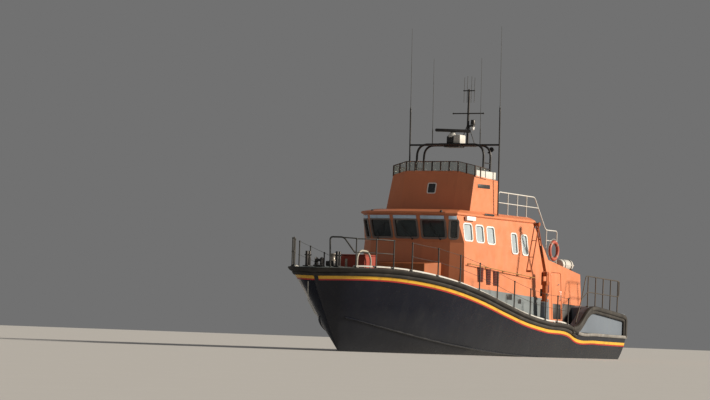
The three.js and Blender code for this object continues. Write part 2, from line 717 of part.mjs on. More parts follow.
function whips() {
  return WHIPS.map(([y, foot, mid, tip]) => {
    const rake = (z) => -60 + (z - ARCH_TOP_Z) * 0.03;
    const low = tube([[rake(foot), y, foot], [rake(mid), y, mid]], Math.abs(y) > 1500 ? 26 : 16);
    return low.add(tube([[rake(mid - 20), y, mid - 20], [rake(tip), y, tip]], 9));
  });
}

// White rails of the upper deck, which run down past the steps to the aft house roof.
function buildUpperRails() {
  const y = 1560;
  const roofs = [roofSolid(GAP), aftHouseSolid(-GAP)];
  const top = tube(bend([
    [-470, y, 4700], [-470, y, 5560], [-3080, y, 5530], [-3950, y, 4480],
    [-4100, y, 4440], [-4850, y, 4440], [-4850, y, 3000],
  ], 90), RAIL_R);
  const mid = tube([[-470, y, 5200], [-3370, y, 5170]], 16);
  const posts = [-1150, -1830, -2500].map((x) => tube([[x, y, 4700], [x, y, 5550]], 18));
  const lower = tube([[-4060, y, 4450], [-4060, y, 3000]], 17);
  const bar = tube([[-4060, y, 4080], [-4850, y, 4080]], 15);
  const rail = union([top, mid, ...posts, lower, bar]);
  const solid = subtractAll(rail, roofs);
  add("upper_rail_port", solid, WHITE);
  add("upper_rail_starboard", flip(solid), WHITE);

  const rungs = Array.from({ length: 5 }, (_, k) => {
    const z = 3560 + k * 240;
    const x = -3480 + (z - 3410) * 0.78;
    return box([x - 110, x + 60], [-330, 330], [z, z + 30]);
  });
  const stringer = (s) => loft([3405, 4600].map((z) => {
    const x = -3610 + (z - 3410) * 0.782;
    return [[x - 60, s - 20, z], [x + 40, s - 20, z], [x + 40, s + 20, z], [x - 60, s + 20, z]];
  }));
  const ladder = union([...rungs, stringer(-330), stringer(330)]);
  add("upper_steps", subtractAll(ladder, [houseSolid(-GAP), ...roofs]), STEEL);
}

// Knuckle crane on the port side deck: turning post, boom and jib, stowed against the house.
const CRANE = { x: -2620, y: 2330, heel: 2860, peakX: -1870, peakZ: 4540, tipX: -1400, tipZ: 2920 };

function buildCrane() {
  const { x, y, heel, peakX, peakZ, tipX, tipZ } = CRANE;
  const base = union([
    drum([x, y, 1500], [0, 0, 1], 130, 800, 12),
    box([x - 170, x + 170], [y - 170, y + 170], [1000, 1330]),
  ]);
  add("crane_base", subtractAll(base, GROUNDS), PANEL_GREY);
  const post = union([
    drum([x, y, 2250], [0, 0, 1], 95, 680, 12),
    box([x - 90, x + 90], [y - 110, y - 60], [2500, heel + 90]),
    box([x - 90, x + 90], [y + 60, y + 110], [2500, heel + 90]),
    box([x - 90, x + 90], [y - 110, y + 110], [2480, 2620]),
  ]);
  add("crane_post", post, ORANGE);
  const boom = union([
    tube([[x, y, heel], [peakX, y, peakZ]], 52, 8),
    drum([x, y, heel], [0, 1, 0], 75, 100, 12),
  ]);
  add("crane_boom", boom, ORANGE);
  const fork = [-1, 1].map((s) => drum([peakX, y + s * 85, peakZ], [0, 1, 0], 70, 40, 12));
  const arms = [-1, 1].map((s) => tube([[peakX, y + s * 85, peakZ], [tipX, y + s * 85, tipZ]], 20));
  const tie = tube([[tipX, y - 90, tipZ], [tipX, y + 90, tipZ]], 36, 8);
  add("crane_jib", union([...fork, ...arms, tie]), ORANGE);
}

// Foredeck: stem head fairlead, bollards, locker and its lid
const LOCKER = { x0: 5650, x1: 6350, half: 480, top: 3080 };

function buildForedeck() {
  const cut = (solid) => subtractAll(solid, GROUNDS);
  const fairlead = union([
    box([8180, 8480], [-130, 130], [2500, 2720]),
    box([8220, 8420], [-110, -70], [2700, 2960]),
    box([8220, 8420], [70, 110], [2700, 2960]),
    drum([8320, 0, 2860], [0, 1, 0], 70, 200, 12),
  ]);
  add("stem_fairlead", cut(fairlead), BLACK);
  const bollard = (y) => cut(union([
    box([7960, 8240], [y - 110, y + 110], [2600, 2730]),
    drum([8170, y, 2900], [0, 0, 1], 50, 500, 10),
    drum([8030, y, 2900], [0, 0, 1], 50, 500, 10),
  ]));
  add("bollards_starboard", bollard(-560), BLACK);
  add("bollards_port", bollard(560), BLACK);
  const winch = cut(union([
    box([7330, 7700], [-160, 160], [2600, 2850]),
    drum([7515, 0, 2950], [0, 0, 1], 120, 300, 12),
  ]));
  add("anchor_winch", winch, BLACK);

  const { x0, x1, half, top } = LOCKER;
  const locker = box([x0, x1], [-half, half], [2500, top]);
  const inside = box([x0 + 30, x1 - 30], [-half + 30, half - 30], [2680, top + 100]);
  add("foredeck_locker", cut(locker.subtract(inside)), ORANGE);
  const lid = box([x0 - 20, x1 + 20], [-half - 20, half + 20], [top + 5, top + 45]);
  add("locker_lid", lid, ORANGE);

  const trunk = loft([
    [[2900, -1350, 2000], [2900, 1350, 2000], [2900, 1350, 3020], [2900, -1350, 3020]],
    [[3680, -1150, 2000], [3680, 1150, 2000], [3680, 1150, 2960], [3680, -1150, 2960]],
  ]);
  add("fore_trunk", subtractAll(trunk, [...GROUNDS, houseSolid(-GAP)]), ORANGE);

  const strop = tube([[8520, -260, 2180], [8240, -420, 1600], [7900, -330, 1150]], 18);
  add("bow_strop", strop.subtract(hullSolid(GAP)), WHITE);
}

// Safety gear on the aft house
function buildGear() {
  const ring = new THREE.TorusGeometry(300, 62, 6, 16);
  ring.rotateX(Math.PI / 2);
  const buoy = solidOf(ring).translate([-4440, 1670, 3740]);
  add("lifebuoy_port", buoy, RED);
  add("lifebuoy_starboard", flip(buoy), RED);
  const raft = (y) => {
    const x = -5620;
    const z = aftRoofZ(x) + 230;
    const feet = [-240, 240].map((d) => box([x + d - 30, x + d + 30], [y - 190, y + 190], [2800, z]));
    return union([drum([x, y, z], [1, 0, 0], 200, 860, 12), ...feet]).subtract(aftHouseSolid(-GAP));
  };
  add("liferaft_port", raft(1480), WHITE);
  add("liferaft_starboard", raft(-1480), WHITE);
}

// Stern gear below the water
const SHAFT = { y: 1000, z: -1180, propX: -6900 };

function propeller() {
  const hub = drum([0, 0, 0], [1, 0, 0], 85, 230, 8);
  const blades = Array.from({ length: 5 }, (_, k) => {
    const blade = loft([60, 280, 460].map((r, i) => {
      const pitch = [1.0, 0.7, 0.5][i];
      const chord = [70, 150, 70][i];
      const [dx, dy] = [Math.sin(pitch) * chord, Math.cos(pitch) * chord];
      const [nx, ny] = [Math.cos(pitch) * 9, -Math.sin(pitch) * 9];
      return [[dx, dy], [nx, ny], [-dx, -dy], [-nx, -ny]].map(([a, b]) => [a, b, r]);
    }));
    return blade.rotate([(360 * k) / 5, 0, 0]);
  });
  return union([hub, ...blades]);
}

function buildSternGear() {
  const hull = hullSolid(GAP);
  for (const [side, s] of [["port", 1], ["starboard", -1]]) {
    const y = s * SHAFT.y;
    const shaft = tube([[-4300, y, -700], [SHAFT.propX + 125, y, SHAFT.z]], 42, 8);
    const barrel = drum([SHAFT.propX + 260, y, SHAFT.z + 20], [1, 0, 0], 75, 220, 12);
    const strut = box([SHAFT.propX + 190, SHAFT.propX + 330], [y - 20, y + 20], [SHAFT.z, -200]);
    add(`shaft_${side}`, union([shaft, barrel, strut]).subtract(hull), STEEL);
    add(`propeller_${side}`, propeller().translate([SHAFT.propX, y, SHAFT.z]), BRONZE);
    const face = [[-7560, 45], [-7750, 40], [-8080, 6]];
    const foil = [[-7430, 0], ...face, ...face.map(([x, t]) => [x, -t]).reverse()];
    const blade = loft([-640, -1700].map((z) => foil.map(([x, t]) => [x, y + t, z])));
    const stock = drum([-7640, y, -580], [0, 0, 1], 45, 160, 12);
    add(`rudder_${side}`, blade.add(stock), NAVY);
  }
}

buildHull();
buildDecks();
buildFender();
buildStripes();
buildRails();
buildWheelhouse();
add("wheelhouse_roof", roofSolid(0), ORANGE);
buildAftHouse();
buildBridge();
buildArch();
buildUpperRails();
buildCrane();
buildForedeck();
buildGear();
buildSternGear();

export default group;
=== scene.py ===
"""The looks of a 17.3 m all-weather motor lifeboat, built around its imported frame.

Sizes are in metres. +X points to the bow, +Y to port and +Z up. The origin lies amidships at the waterline.
"""

import json
import logging
import math
from dataclasses import dataclass
from enum import Enum
from typing import Iterable, Sequence

import bmesh
import bpy
import numpy as np
from bmesh.types import BMesh, BMEdge, BMFace, BMVert
from mathutils import Matrix, Vector

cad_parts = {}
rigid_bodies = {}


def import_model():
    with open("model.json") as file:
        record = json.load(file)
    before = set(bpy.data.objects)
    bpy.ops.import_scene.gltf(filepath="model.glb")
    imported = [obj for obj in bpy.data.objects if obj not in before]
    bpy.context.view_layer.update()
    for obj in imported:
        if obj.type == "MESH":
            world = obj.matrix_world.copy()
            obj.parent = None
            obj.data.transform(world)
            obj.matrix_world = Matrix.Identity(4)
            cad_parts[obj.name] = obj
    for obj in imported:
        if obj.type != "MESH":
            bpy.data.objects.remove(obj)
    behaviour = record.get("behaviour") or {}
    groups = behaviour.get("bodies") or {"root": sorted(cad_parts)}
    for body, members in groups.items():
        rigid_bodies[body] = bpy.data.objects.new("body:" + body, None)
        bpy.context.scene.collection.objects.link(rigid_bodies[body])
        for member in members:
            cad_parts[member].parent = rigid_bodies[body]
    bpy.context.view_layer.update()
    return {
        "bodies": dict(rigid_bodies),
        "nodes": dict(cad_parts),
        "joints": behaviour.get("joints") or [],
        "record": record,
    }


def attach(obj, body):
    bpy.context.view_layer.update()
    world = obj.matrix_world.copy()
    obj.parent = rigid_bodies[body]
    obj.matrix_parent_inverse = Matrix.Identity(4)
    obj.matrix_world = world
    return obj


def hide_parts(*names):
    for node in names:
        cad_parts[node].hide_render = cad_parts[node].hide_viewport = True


Point = Sequence[float]
Color = tuple[float, float, float]
Pair = tuple[float, float]
Spot = tuple[float, float, float]
LOG = logging.getLogger("lifeboat")
SIDES = ("port", "starboard")
WELD = 1e-5
NOISE_MIDDLE = (0.3, 0.7)


class Body(Enum):
    """The bodies that pieces ride on."""

    BOAT = "boat"
    SCANNER = "scanner"
    PORT_DOOR = "port_door"
    STARBOARD_DOOR = "starboard_door"
    LID = "lid"
    POST = "slewing_post"
    BOOM = "boom"
    JIB = "jib"
    PORT_PROPELLER = "port_propeller"
    STARBOARD_PROPELLER = "starboard_propeller"
    PORT_RUDDER = "port_rudder"
    STARBOARD_RUDDER = "starboard_rudder"


class Graph:
    """A node material with one shader, to which a finish adds its textures."""

    def __init__(self, name: str) -> None:
        """Starts a material with a shader and an output.

        Args:
            name: Name of the material.
        """
        self.material = bpy.data.materials.new(name)
        self.material.use_nodes = True
        self.tree = self.material.node_tree
        self.tree.nodes.clear()
        self.shader = self.add("ShaderNodeBsdfPrincipled")
        self.link(self.shader, "BSDF", self.add("ShaderNodeOutputMaterial"), "Surface")
        self.place = self.add("ShaderNodeTexCoord")

    def add(self, kind: str, **settings: object) -> bpy.types.Node:
        """Adds a node and sets its properties and input values by name.

        Args:
            kind: The node's type.
            settings: Properties of the node, or inputs with spaces written as underscores.

        Returns:
            The node.
        """
        node = self.tree.nodes.new(kind)
        for key, value in settings.items():
            if hasattr(node, key):
                setattr(node, key, value)
            else:
                node.inputs[key.replace("_", " ")].default_value = value
        return node

    def link(self, source: bpy.types.Node, output: str | int, target: bpy.types.Node, entry: str | int) -> None:
        """Links an output of one node to an input of another."""
        self.tree.links.new(source.outputs[output], target.inputs[entry])

    def noise(self, scale: float, detail: float = 4.0, stretch: Point = (1, 1, 1)) -> bpy.types.Node:
        """Adds a noise on object coordinates.

        Args:
            scale: Cells per metre.
            detail: Octaves.
            stretch: Factor on each coordinate, below one for long marks.

        Returns:
            The noise node.
        """
        mapping = self.add("ShaderNodeMapping", Scale=stretch)
        self.link(self.place, "Object", mapping, "Vector")
        node = self.add("ShaderNodeTexNoise", Scale=scale, Detail=detail)
        self.link(mapping, 0, node, "Vector")
        return node

    def span(self, source: bpy.types.Node, output: str | int, start: float, end: float,
             band: Pair = NOISE_MIDDLE) -> bpy.types.Node:
        """Maps a band of a node's values to another range, clamped.

        Args:
            source: Node that gives the value.
            output: Its output.
            start: Result at the band's first value.
            end: Result at the band's second value.
            band: The band.

        Returns:
            The map range node.
        """
        node = self.add("ShaderNodeMapRange")
        for entry, value in enumerate((*band, start, end), 1):
            node.inputs[entry].default_value = value
        self.link(source, output, node, 0)
        return node

    def blend(self, factor: bpy.types.Node, first: object, second: object) -> bpy.types.Node:
        """Mixes two colours.

        Args:
            factor: Node whose first output is the share of the second colour.
            first: Colour or mix node.
            second: Colour or mix node.

        Returns:
            The mix node, whose third output is the colour.
        """
        node = self.add("ShaderNodeMix", data_type="RGBA")
        self.link(factor, 0, node, 0)
        for entry, value in ((6, first), (7, second)):
            if isinstance(value, bpy.types.Node):
                self.link(value, 2, node, entry)
            else:
                node.inputs[entry].default_value = (*value, 1.0)
        return node

    def paint(self, color: bpy.types.Node, roughness: bpy.types.Node | None = None) -> None:
        """Links a mix node to the shader's colour, and a value to its roughness.

        Args:
            color: The mix node.
            roughness: Node that gives the roughness, if it changes.
        """
        self.link(color, 2, self.shader, "Base Color")
        if roughness:
            self.link(roughness, 0, self.shader, "Roughness")

    def bump(self, source: bpy.types.Node, strength: float, depth: float) -> None:
        """Turns a node's value into relief on the shader.

        Args:
            source: The node.
            strength: Strength of the relief.
            depth: Its depth in metres.
        """
        node = self.add("ShaderNodeBump", Strength=strength, Distance=depth)
        self.link(source, 0, node, "Height")
        self.link(node, 0, self.shader, "Normal")


def shade(color: Point, factor: float) -> tuple[float, ...]:
    """Multiplies a colour."""
    return tuple(min(1.0, channel * factor) for channel in color)


@dataclass(frozen=True)
class Finish:
    """A procedural material for one of the record's material slots."""

    name: str
    slot: str
    color: Color

    def graph(self) -> Graph:
        """Builds the nodes."""
        return Graph(self.name)

    def material(self) -> bpy.types.Material:
        """Gives the material, made once."""
        return bpy.data.materials.get(self.name) or self.graph().material


@dataclass(frozen=True)
class Paint(Finish):
    """A painted, moulded or metal surface with patches, runs of dirt, grain and uneven gloss."""

    roughness: float = 0.42
    metallic: float = 0.0
    coat: float = 0.0
    specular: float = 0.35
    patch: float = 0.14
    patch_scale: float = 0.9
    streak: float = 0.25
    dirt: Color = (0.09, 0.06, 0.04)
    grain: float = 0.12
    grain_scale: float = 90.0

    def graph(self) -> Graph:
        """Builds the patches, the runs, the gloss and the grain.

        Returns:
            The node material.
        """
        graph = super().graph()
        for entry, value in (("Metallic", self.metallic), ("Coat Weight", self.coat),
                             ("Specular IOR Level", self.specular)):
            graph.shader.inputs[entry].default_value = value
        patches = graph.span(graph.noise(self.patch_scale), "Fac", 0.0, 1.0)
        tone = graph.blend(patches, shade(self.color, 1 - self.patch), shade(self.color, 1 + self.patch))
        runs = graph.span(graph.noise(2.6, 6.0, (1.6, 1.6, 0.16)), "Fac", 0.0, self.streak, (0.52, 0.74))
        gloss = graph.span(graph.noise(3.2, 5.0), "Fac", self.roughness - 0.07, self.roughness + 0.1)
        graph.paint(graph.blend(runs, tone, self.dirt), gloss)
        if self.grain:
            graph.bump(graph.noise(self.grain_scale, 2.0), self.grain, 0.002)
        return graph


@dataclass(frozen=True)
class TopsidePaint(Paint):
    """Gloss hull paint on slightly rippled plating, with salt above the waterline and bottom paint below it."""

    bottom: Color = (0.012, 0.014, 0.022)
    salt: Color = (0.035, 0.038, 0.042)
    salt_waver: float = -1.2
    salt_band: Pair = (-0.45, 0.9)
    waterline: Pair = (-0.02, 0.01)

    def graph(self) -> Graph:
        """Adds the salt, the bottom paint and the ripple of the plates.

        Returns:
            The node material.
        """
        graph = super().graph()
        worn = graph.shader.inputs["Base Color"].links[0].from_node
        height = graph.add("ShaderNodeSeparateXYZ")
        graph.link(graph.place, "Object", height, 0)
        level = graph.add("ShaderNodeMath", operation="MULTIPLY_ADD")
        graph.link(graph.noise(1.4, 8.0, (1, 1, 0.5)), "Fac", level, 0)
        level.inputs[1].default_value = self.salt_waver
        graph.link(height, "Z", level, 2)
        salted = graph.blend(graph.span(level, 0, 0.5, 0.0, self.salt_band), worn, self.salt)
        below = graph.span(height, "Z", 1.0, 0.0, self.waterline)
        graph.paint(graph.blend(below, salted, self.bottom))
        graph.bump(graph.noise(1.1, 1.0, (1.0, 1.0, 0.6)), 0.35, 0.02)
        return graph


@dataclass(frozen=True)
class GripPaint(Paint):
    """Deck paint with non-slip grit."""

    def graph(self) -> Graph:
        """Adds the grit.

        Returns:
            The node material.
        """
        graph = super().graph()
        grit = graph.add("ShaderNodeTexVoronoi", Scale=130.0)
        graph.link(graph.place, "Object", grit, "Vector")
        graph.bump(grit, 0.5, 0.004)
        return graph


@dataclass(frozen=True)
class Pane(Finish):
    """Window glass, dark and glossy or clear, with a film of salt."""

    clear: float = 0.3
    roughness: float = 0.04

    def graph(self) -> Graph:
        """Builds the glass and the film.

        Returns:
            The node material.
        """
        graph = super().graph()
        for entry, value in (("Transmission Weight", self.clear), ("IOR", 1.45), ("Specular IOR Level", 0.6)):
            graph.shader.inputs[entry].default_value = value
        film = graph.span(graph.noise(2.3, 6.0, (1, 1, 0.4)), "Fac", 0.0, 0.25, (0.4, 0.75))
        smear = graph.span(graph.noise(9.0), "Fac", self.roughness, self.roughness + 0.07)
        graph.paint(graph.blend(film, self.color, shade(self.color, 2.2)), smear)
        return graph


@dataclass(frozen=True)
class Laid(Finish):
    """Rope laid in strands."""

    scale: float = 30.0

    def graph(self) -> Graph:
        """Builds the strands.

        Returns:
            The node material.
        """
        graph = super().graph()
        strands = graph.add("ShaderNodeTexWave", Scale=self.scale, Distortion=1.5, bands_direction="DIAGONAL")
        graph.link(graph.place, "Object", strands, "Vector")
        share = graph.span(strands, "Fac", 0, 1, (0, 1))
        rough = graph.span(graph.noise(40.0), "Fac", 0.75, 0.95)
        graph.paint(graph.blend(share, shade(self.color, 0.6), self.color), rough)
        graph.bump(strands, 0.6, 0.006)
        return graph


NAVY = TopsidePaint("hull_navy", "navy_paint", (0.005, 0.0065, 0.014), 0.25, coat=0.1, specular=0.2,
                    streak=0.3, dirt=(0.02, 0.022, 0.026), grain=0.0)
NAVY_PLAIN = Paint("gear_navy", "navy_paint", (0.012, 0.015, 0.03), 0.45, streak=0.3, dirt=(0.04, 0.045, 0.05))
ORANGE = Paint("superstructure_orange", "orange_paint", (0.53, 0.175, 0.078), 0.4, coat=0.06, specular=0.45,
               patch=0.07, streak=0.2, dirt=(0.3, 0.1, 0.05))
GEAR_ORANGE = Paint("gear_orange", "orange_paint", (0.30, 0.075, 0.022), 0.5, specular=0.2, streak=0.45,
                    dirt=(0.12, 0.04, 0.02))
# locker: the orange paint darkened, painted shade for the shade that the locker stands in
LOCKER_SHADED_ORANGE = Paint("locker_painted_shade", "orange_paint", (0.26, 0.05, 0.035), 0.6, specular=0.15, patch=0.2, streak=0.3)
LOUVRE_RED = Paint("louvre_red", "orange_paint", (0.11, 0.02, 0.014), 0.6)
# trunk: the orange paint darkened, painted shade for the trunk's shaded look
TRUNK_SHADED_ORANGE = Paint("trunk_painted_shade", "orange_paint", (0.34, 0.11, 0.045), 0.6, specular=0.15, patch=0.15, streak=0.3)
HANDRAIL = Paint("handrail_ochre", "orange_paint", (0.30, 0.17, 0.06), 0.4, patch=0.15, streak=0.3)
DECK = GripPaint("deck_paint", "deck_grey", (0.17, 0.2, 0.21), 0.8, patch=0.25, streak=0.0)
QUARTER = Paint("quarter_paint", "quarter_grey", (0.13, 0.155, 0.19), 0.6, specular=0.1, patch=0.08, streak=0.2,
                dirt=(0.16, 0.18, 0.2))
BOOT = Paint("boot_band", "quarter_grey", (0.16, 0.185, 0.2), 0.65, specular=0.1, patch=0.15, streak=0.35)
# visor strips: pale blue, partly their own tint and partly the sky's light and reflection painted in
VISOR_SKY_LIT = Paint("visor_sky_lit", "quarter_grey", (0.5, 0.66, 0.85), 0.3, patch=0.1)
RUBBER = Paint("fender_roll", "fender_rubber", (0.021, 0.0195, 0.018), 0.72, patch=0.35, patch_scale=2.2,
               streak=0.4, dirt=(0.07, 0.06, 0.05), grain=0.35, grain_scale=45.0)
# pale rubber: partly wear, partly a painted highlight of the sunlit top of the rolls
RUBBER_LIT_WORN = Paint("fender_lit_worn_edge", "fender_rubber", (0.2, 0.195, 0.185), 0.75, patch=0.3, patch_scale=3.0,
                    streak=0.4, grain=0.3)
YELLOW = Paint("stripe_yellow", "yellow_stripe", (0.62, 0.36, 0.035), 0.4, patch=0.1, streak=0.3)
RED = Paint("stripe_red", "red_stripe", (0.36, 0.025, 0.025), 0.4, patch=0.1, streak=0.25)
WHITE = Paint("gear_white", "white_paint", (0.5, 0.5, 0.48), 0.5, patch=0.07, streak=0.35, dirt=(0.3, 0.22, 0.14))
CREAM = Paint("gear_cream", "white_paint", (0.3, 0.28, 0.24), 0.5, patch=0.1, streak=0.3)
FRAME_WHITE = Paint("frame_white", "white_paint", (0.72, 0.74, 0.74), 0.35, patch=0.05, streak=0.15)
LAMP = Paint("lamp_glass", "white_paint", (0.8, 0.82, 0.82), 0.12, coat=0.8, patch=0.04, streak=0.0, grain=0.0)
FRAME_GREY = Paint("frame_grey", "rail_steel", (0.17, 0.145, 0.14), 0.45, 0.1, patch=0.2)
RAIL_BROWN = Paint("rail_brown", "rail_steel", (0.07, 0.058, 0.046), 0.5, 0.2, specular=0.3, patch=0.2, streak=0.3)
STEEL = Paint("steel_tube", "rail_steel", (0.3, 0.27, 0.24), 0.38, 0.75, patch=0.2, streak=0.35,
              dirt=(0.14, 0.08, 0.05))
BRIGHT = Paint("bright_steel", "rail_steel", (0.5, 0.5, 0.5), 0.25, 0.9, patch=0.1, streak=0.15)
BLACK_RAIL = Paint("rail_black", "black_rail", (0.028, 0.03, 0.03), 0.42, patch=0.3, streak=0.3,
                   dirt=(0.12, 0.09, 0.06))
BLACK = Paint("gear_black", "black_paint", (0.018, 0.018, 0.02), 0.4, patch=0.25, streak=0.2)
POST_BROWN = Paint("post_brown", "black_paint", (0.05, 0.028, 0.02), 0.5, patch=0.2)
CABIN = Paint("cabin_black", "black_cabin", (0.022, 0.024, 0.028), 0.65, patch=0.2, streak=0.0, grain=0.3)
ENGINE = Paint("engine_grey", "engine_steel", (0.14, 0.17, 0.17), 0.5, 0.4, patch=0.3)
BRONZE = Paint("propeller_bronze", "bronze", (0.42, 0.26, 0.09), 0.28, 0.95, patch=0.25, streak=0.2,
               dirt=(0.12, 0.16, 0.1))
BUOY = Paint("lifebuoy_shell", "lifebuoy_red", (0.34, 0.07, 0.045), 0.5, patch=0.08, streak=0.1)
BUOY_BAND = Paint("lifebuoy_band", "lifebuoy_red", (0.26, 0.16, 0.13), 0.5, patch=0.2)
DARK_GLASS = Pane("front_glass", "dark_glass", (0.05, 0.065, 0.075), 0.55)
SIDE_GLASS = Pane("side_glass", "dark_glass", (0.34, 0.4, 0.44), 0.1, 0.08)
PERSPEX = Pane("screen_perspex", "clear_screen", (0.6, 0.62, 0.58), 0.93, 0.03)
ROPE = Laid("pale_rope", "rope_white", (0.5, 0.5, 0.46))
FLOOR = Paint("floor_pale", "", (0.52, 0.52, 0.52), 0.85, patch=0.01, streak=0.0, grain=0.0)
SLOT_FINISHES = {finish.slot: finish for finish in (
    NAVY_PLAIN, ENGINE, DECK, QUARTER, RUBBER, YELLOW, RED, WHITE, BLACK_RAIL, STEEL, ORANGE, DARK_GLASS, CABIN,
    PERSPEX, BLACK, ROPE, BUOY, BRONZE)}


def up(height: float) -> Vector:
    """Gives an upward step."""
    return Vector((0, 0, height))


def circle(count: int) -> list[float]:
    """Gives evenly spaced angles round a circle."""
    return [2 * math.pi * k / count for k in range(count)]


class Shape:
    """A mesh that grows by operators, and ends as one piece of the boat."""

    sharp: float = math.radians(32)

    def __init__(self, bm: BMesh | None = None) -> None:
        """Starts with a mesh, or empty."""
        self.bm = bmesh.new() if bm is None else bm

    def soften(self, edges: Iterable[BMEdge], width: float, segments: int = 2, clamp: bool = True) -> None:
        """Bevels edges.

        Args:
            edges: The edges.
            width: Width of the bevel, or zero for none.
            segments: Steps across it.
            clamp: Whether it stops where bevels meet.
        """
        if width > 0:
            bmesh.ops.bevel(self.bm, geom=list(edges), offset=width, offset_type="OFFSET", segments=segments,
                            profile=0.5, affect="EDGES", material=-1, clamp_overlap=clamp)

    def box(self, low: Point, high: Point, bevel: float = 0.004) -> None:
        """Adds a box.

        Args:
            low: Lowest corner.
            high: Highest corner.
            bevel: Width of the bevel, or zero for none.
        """
        size = [b - a for a, b in zip(low, high)]
        middle = Vector([(a + b) / 2 for a, b in zip(low, high)])
        place = Matrix.Translation(middle) @ Matrix.Diagonal((*size, 1))
        verts = bmesh.ops.create_cube(self.bm, size=1.0, matrix=place)["verts"]
        self.soften({edge for vert in verts for edge in vert.link_edges}, min(bevel, 0.3 * min(size)))

    def drum(self, start: Point, end: Point, radius: float, far: float | None = None, sides: int = 20,
             bevel: float = 0.0) -> None:
        """Adds a cylinder or cone between two points.

        Args:
            start: Middle of the first end.
            end: Middle of the other end.
            radius: Radius at the start.
            far: Radius at the end, or None for the same.
            sides: Number of sides.
            bevel: Bevel of the end edges.
        """
        a, b = Vector(start), Vector(end)
        place = Matrix.Translation((a + b) / 2) @ (b - a).to_track_quat("Z", "Y").to_matrix().to_4x4()
        verts = bmesh.ops.create_cone(self.bm, cap_ends=True, segments=sides, radius1=radius,
                                      radius2=radius if far is None else far, depth=(b - a).length,
                                      matrix=place)["verts"]
        rims = {edge for vert in verts for edge in vert.link_edges
                if max(len(face.verts) for face in edge.link_faces) > 4}
        self.soften(rims, bevel, 3)

    def ball(self, middle: Point, radius: float, scale: Point = (1, 1, 1), sides: int = 20) -> None:
        """Adds a ball, or an egg by its scale."""
        place = Matrix.Translation(Vector(middle)) @ Matrix.Diagonal((*scale, 1))
        bmesh.ops.create_uvsphere(self.bm, u_segments=sides, v_segments=sides // 2, radius=radius, matrix=place)

    def loft(self, rings: Sequence[Sequence[Point]], caps: bool = True) -> list[BMVert]:
        """Extrudes a closed first section through the places of the next ones.

        Args:
            rings: Sections with the same number of points.
            caps: Whether the two ends are filled.

        Returns:
            The new vertices.
        """
        bm = self.bm
        row = [bm.verts.new(Vector(p)) for p in rings[0]]
        edges = [bm.edges.new(pair) for pair in zip(row, row[1:] + row[:1])]
        first, verts = list(edges), list(row)
        for ring in rings[1:]:
            made = bmesh.ops.extrude_edge_only(bm, edges=edges)["geom"]
            fresh = {item for item in made if isinstance(item, BMVert)}
            row = [next(e.other_vert(v) for e in v.link_edges if e.other_vert(v) in fresh) for v in row]
            for vert, point in zip(row, ring):
                vert.co = Vector(point)
            edges = [item for item in made if isinstance(item, BMEdge) and set(item.verts) <= fresh]
            verts += row
        if caps:
            for loop in (first, edges):
                bmesh.ops.contextual_create(bm, geom=loop)
        return verts

    def collar(self, rings: Sequence[Sequence[Point]]) -> None:
        """Lofts rings and comes round to the first one again."""
        verts = self.loft([*rings, rings[0]], caps=False)
        bmesh.ops.remove_doubles(self.bm, verts=verts, dist=WELD)

    def tube(self, path: Sequence[Point], radius: float | Sequence[float], sides: int = 12) -> None:
        """Carries a circle along a path, square to it, without twist.

        Args:
            path: Points of the middle line.
            radius: Radius, or one for each point.
            sides: Number of sides.
        """
        points = [Vector(p) for p in path]
        radii = [radius] * len(points) if isinstance(radius, (int, float)) else radius
        last = (points[1] - points[0]).normalized()
        turn = last.to_track_quat("Z", "Y")
        rings = []
        for i, (point, r) in enumerate(zip(points, radii)):
            along = (points[min(i + 1, len(points) - 1)] - points[max(i - 1, 0)]).normalized()
            turn = last.rotation_difference(along) @ turn
            last = along
            rings.append([point + turn @ Vector((r * math.cos(a), r * math.sin(a), 0)) for a in circle(sides)])
        self.loft(rings)

    def wheel(self, profile: Sequence[Pair], middle: Point, axis: Point, steps: int = 32) -> None:
        """Spins a profile about an axis.

        Args:
            profile: Pairs of radius and height along the axis, in order.
            middle: Origin of the profile.
            axis: Direction of the axis.
            steps: Steps round.
        """
        bm = self.bm
        before = set(bm.verts)
        turn, origin = Vector(axis).to_track_quat("Z", "Y"), Vector(middle)
        row = [bm.verts.new(origin + turn @ Vector((r, 0, h))) for r, h in profile]
        edges = [bm.edges.new(pair) for pair in zip(row, row[1:])]
        bmesh.ops.spin(bm, geom=row + edges, cent=origin, axis=turn @ up(1), angle=2 * math.pi, steps=steps,
                       use_merge=True, use_duplicate=False)
        bmesh.ops.remove_doubles(bm, verts=[v for v in bm.verts if v not in before], dist=WELD)

    def plate(self, outline: Sequence[Point], thick: Point, bevel: float = 0.0) -> None:
        """Fills a flat outline and extrudes it.

        Args:
            outline: Corners in order.
            thick: Vector of the extrusion.
            bevel: Bevel of all edges.
        """
        row = [self.bm.verts.new(Vector(p)) for p in outline]
        made = bmesh.ops.extrude_face_region(self.bm, geom=[self.bm.faces.new(row)])["geom"]
        fresh = [item for item in made if isinstance(item, BMVert)]
        bmesh.ops.translate(self.bm, vec=Vector(thick), verts=fresh)
        self.soften({edge for vert in row + fresh for edge in vert.link_edges}, bevel)

    def flip(self, verts: list[BMVert], faces: list[BMFace]) -> "Shape":
        """Moves a part to the other side of the centreline.

        Args:
            verts: Its vertices.
            faces: Its faces.

        Returns:
            The shape.
        """
        bmesh.ops.scale(self.bm, vec=(1, -1, 1), verts=verts)
        bmesh.ops.reverse_faces(self.bm, faces=faces)
        return self

    def both_sides(self) -> "Shape":
        """Copies all that is there to the other side of the centreline.

        Returns:
            The shape.
        """
        geom = [*self.bm.verts, *self.bm.edges, *self.bm.faces]
        made = bmesh.ops.duplicate(self.bm, geom=geom)["geom"]
        return self.flip([i for i in made if isinstance(i, BMVert)], [i for i in made if isinstance(i, BMFace)])

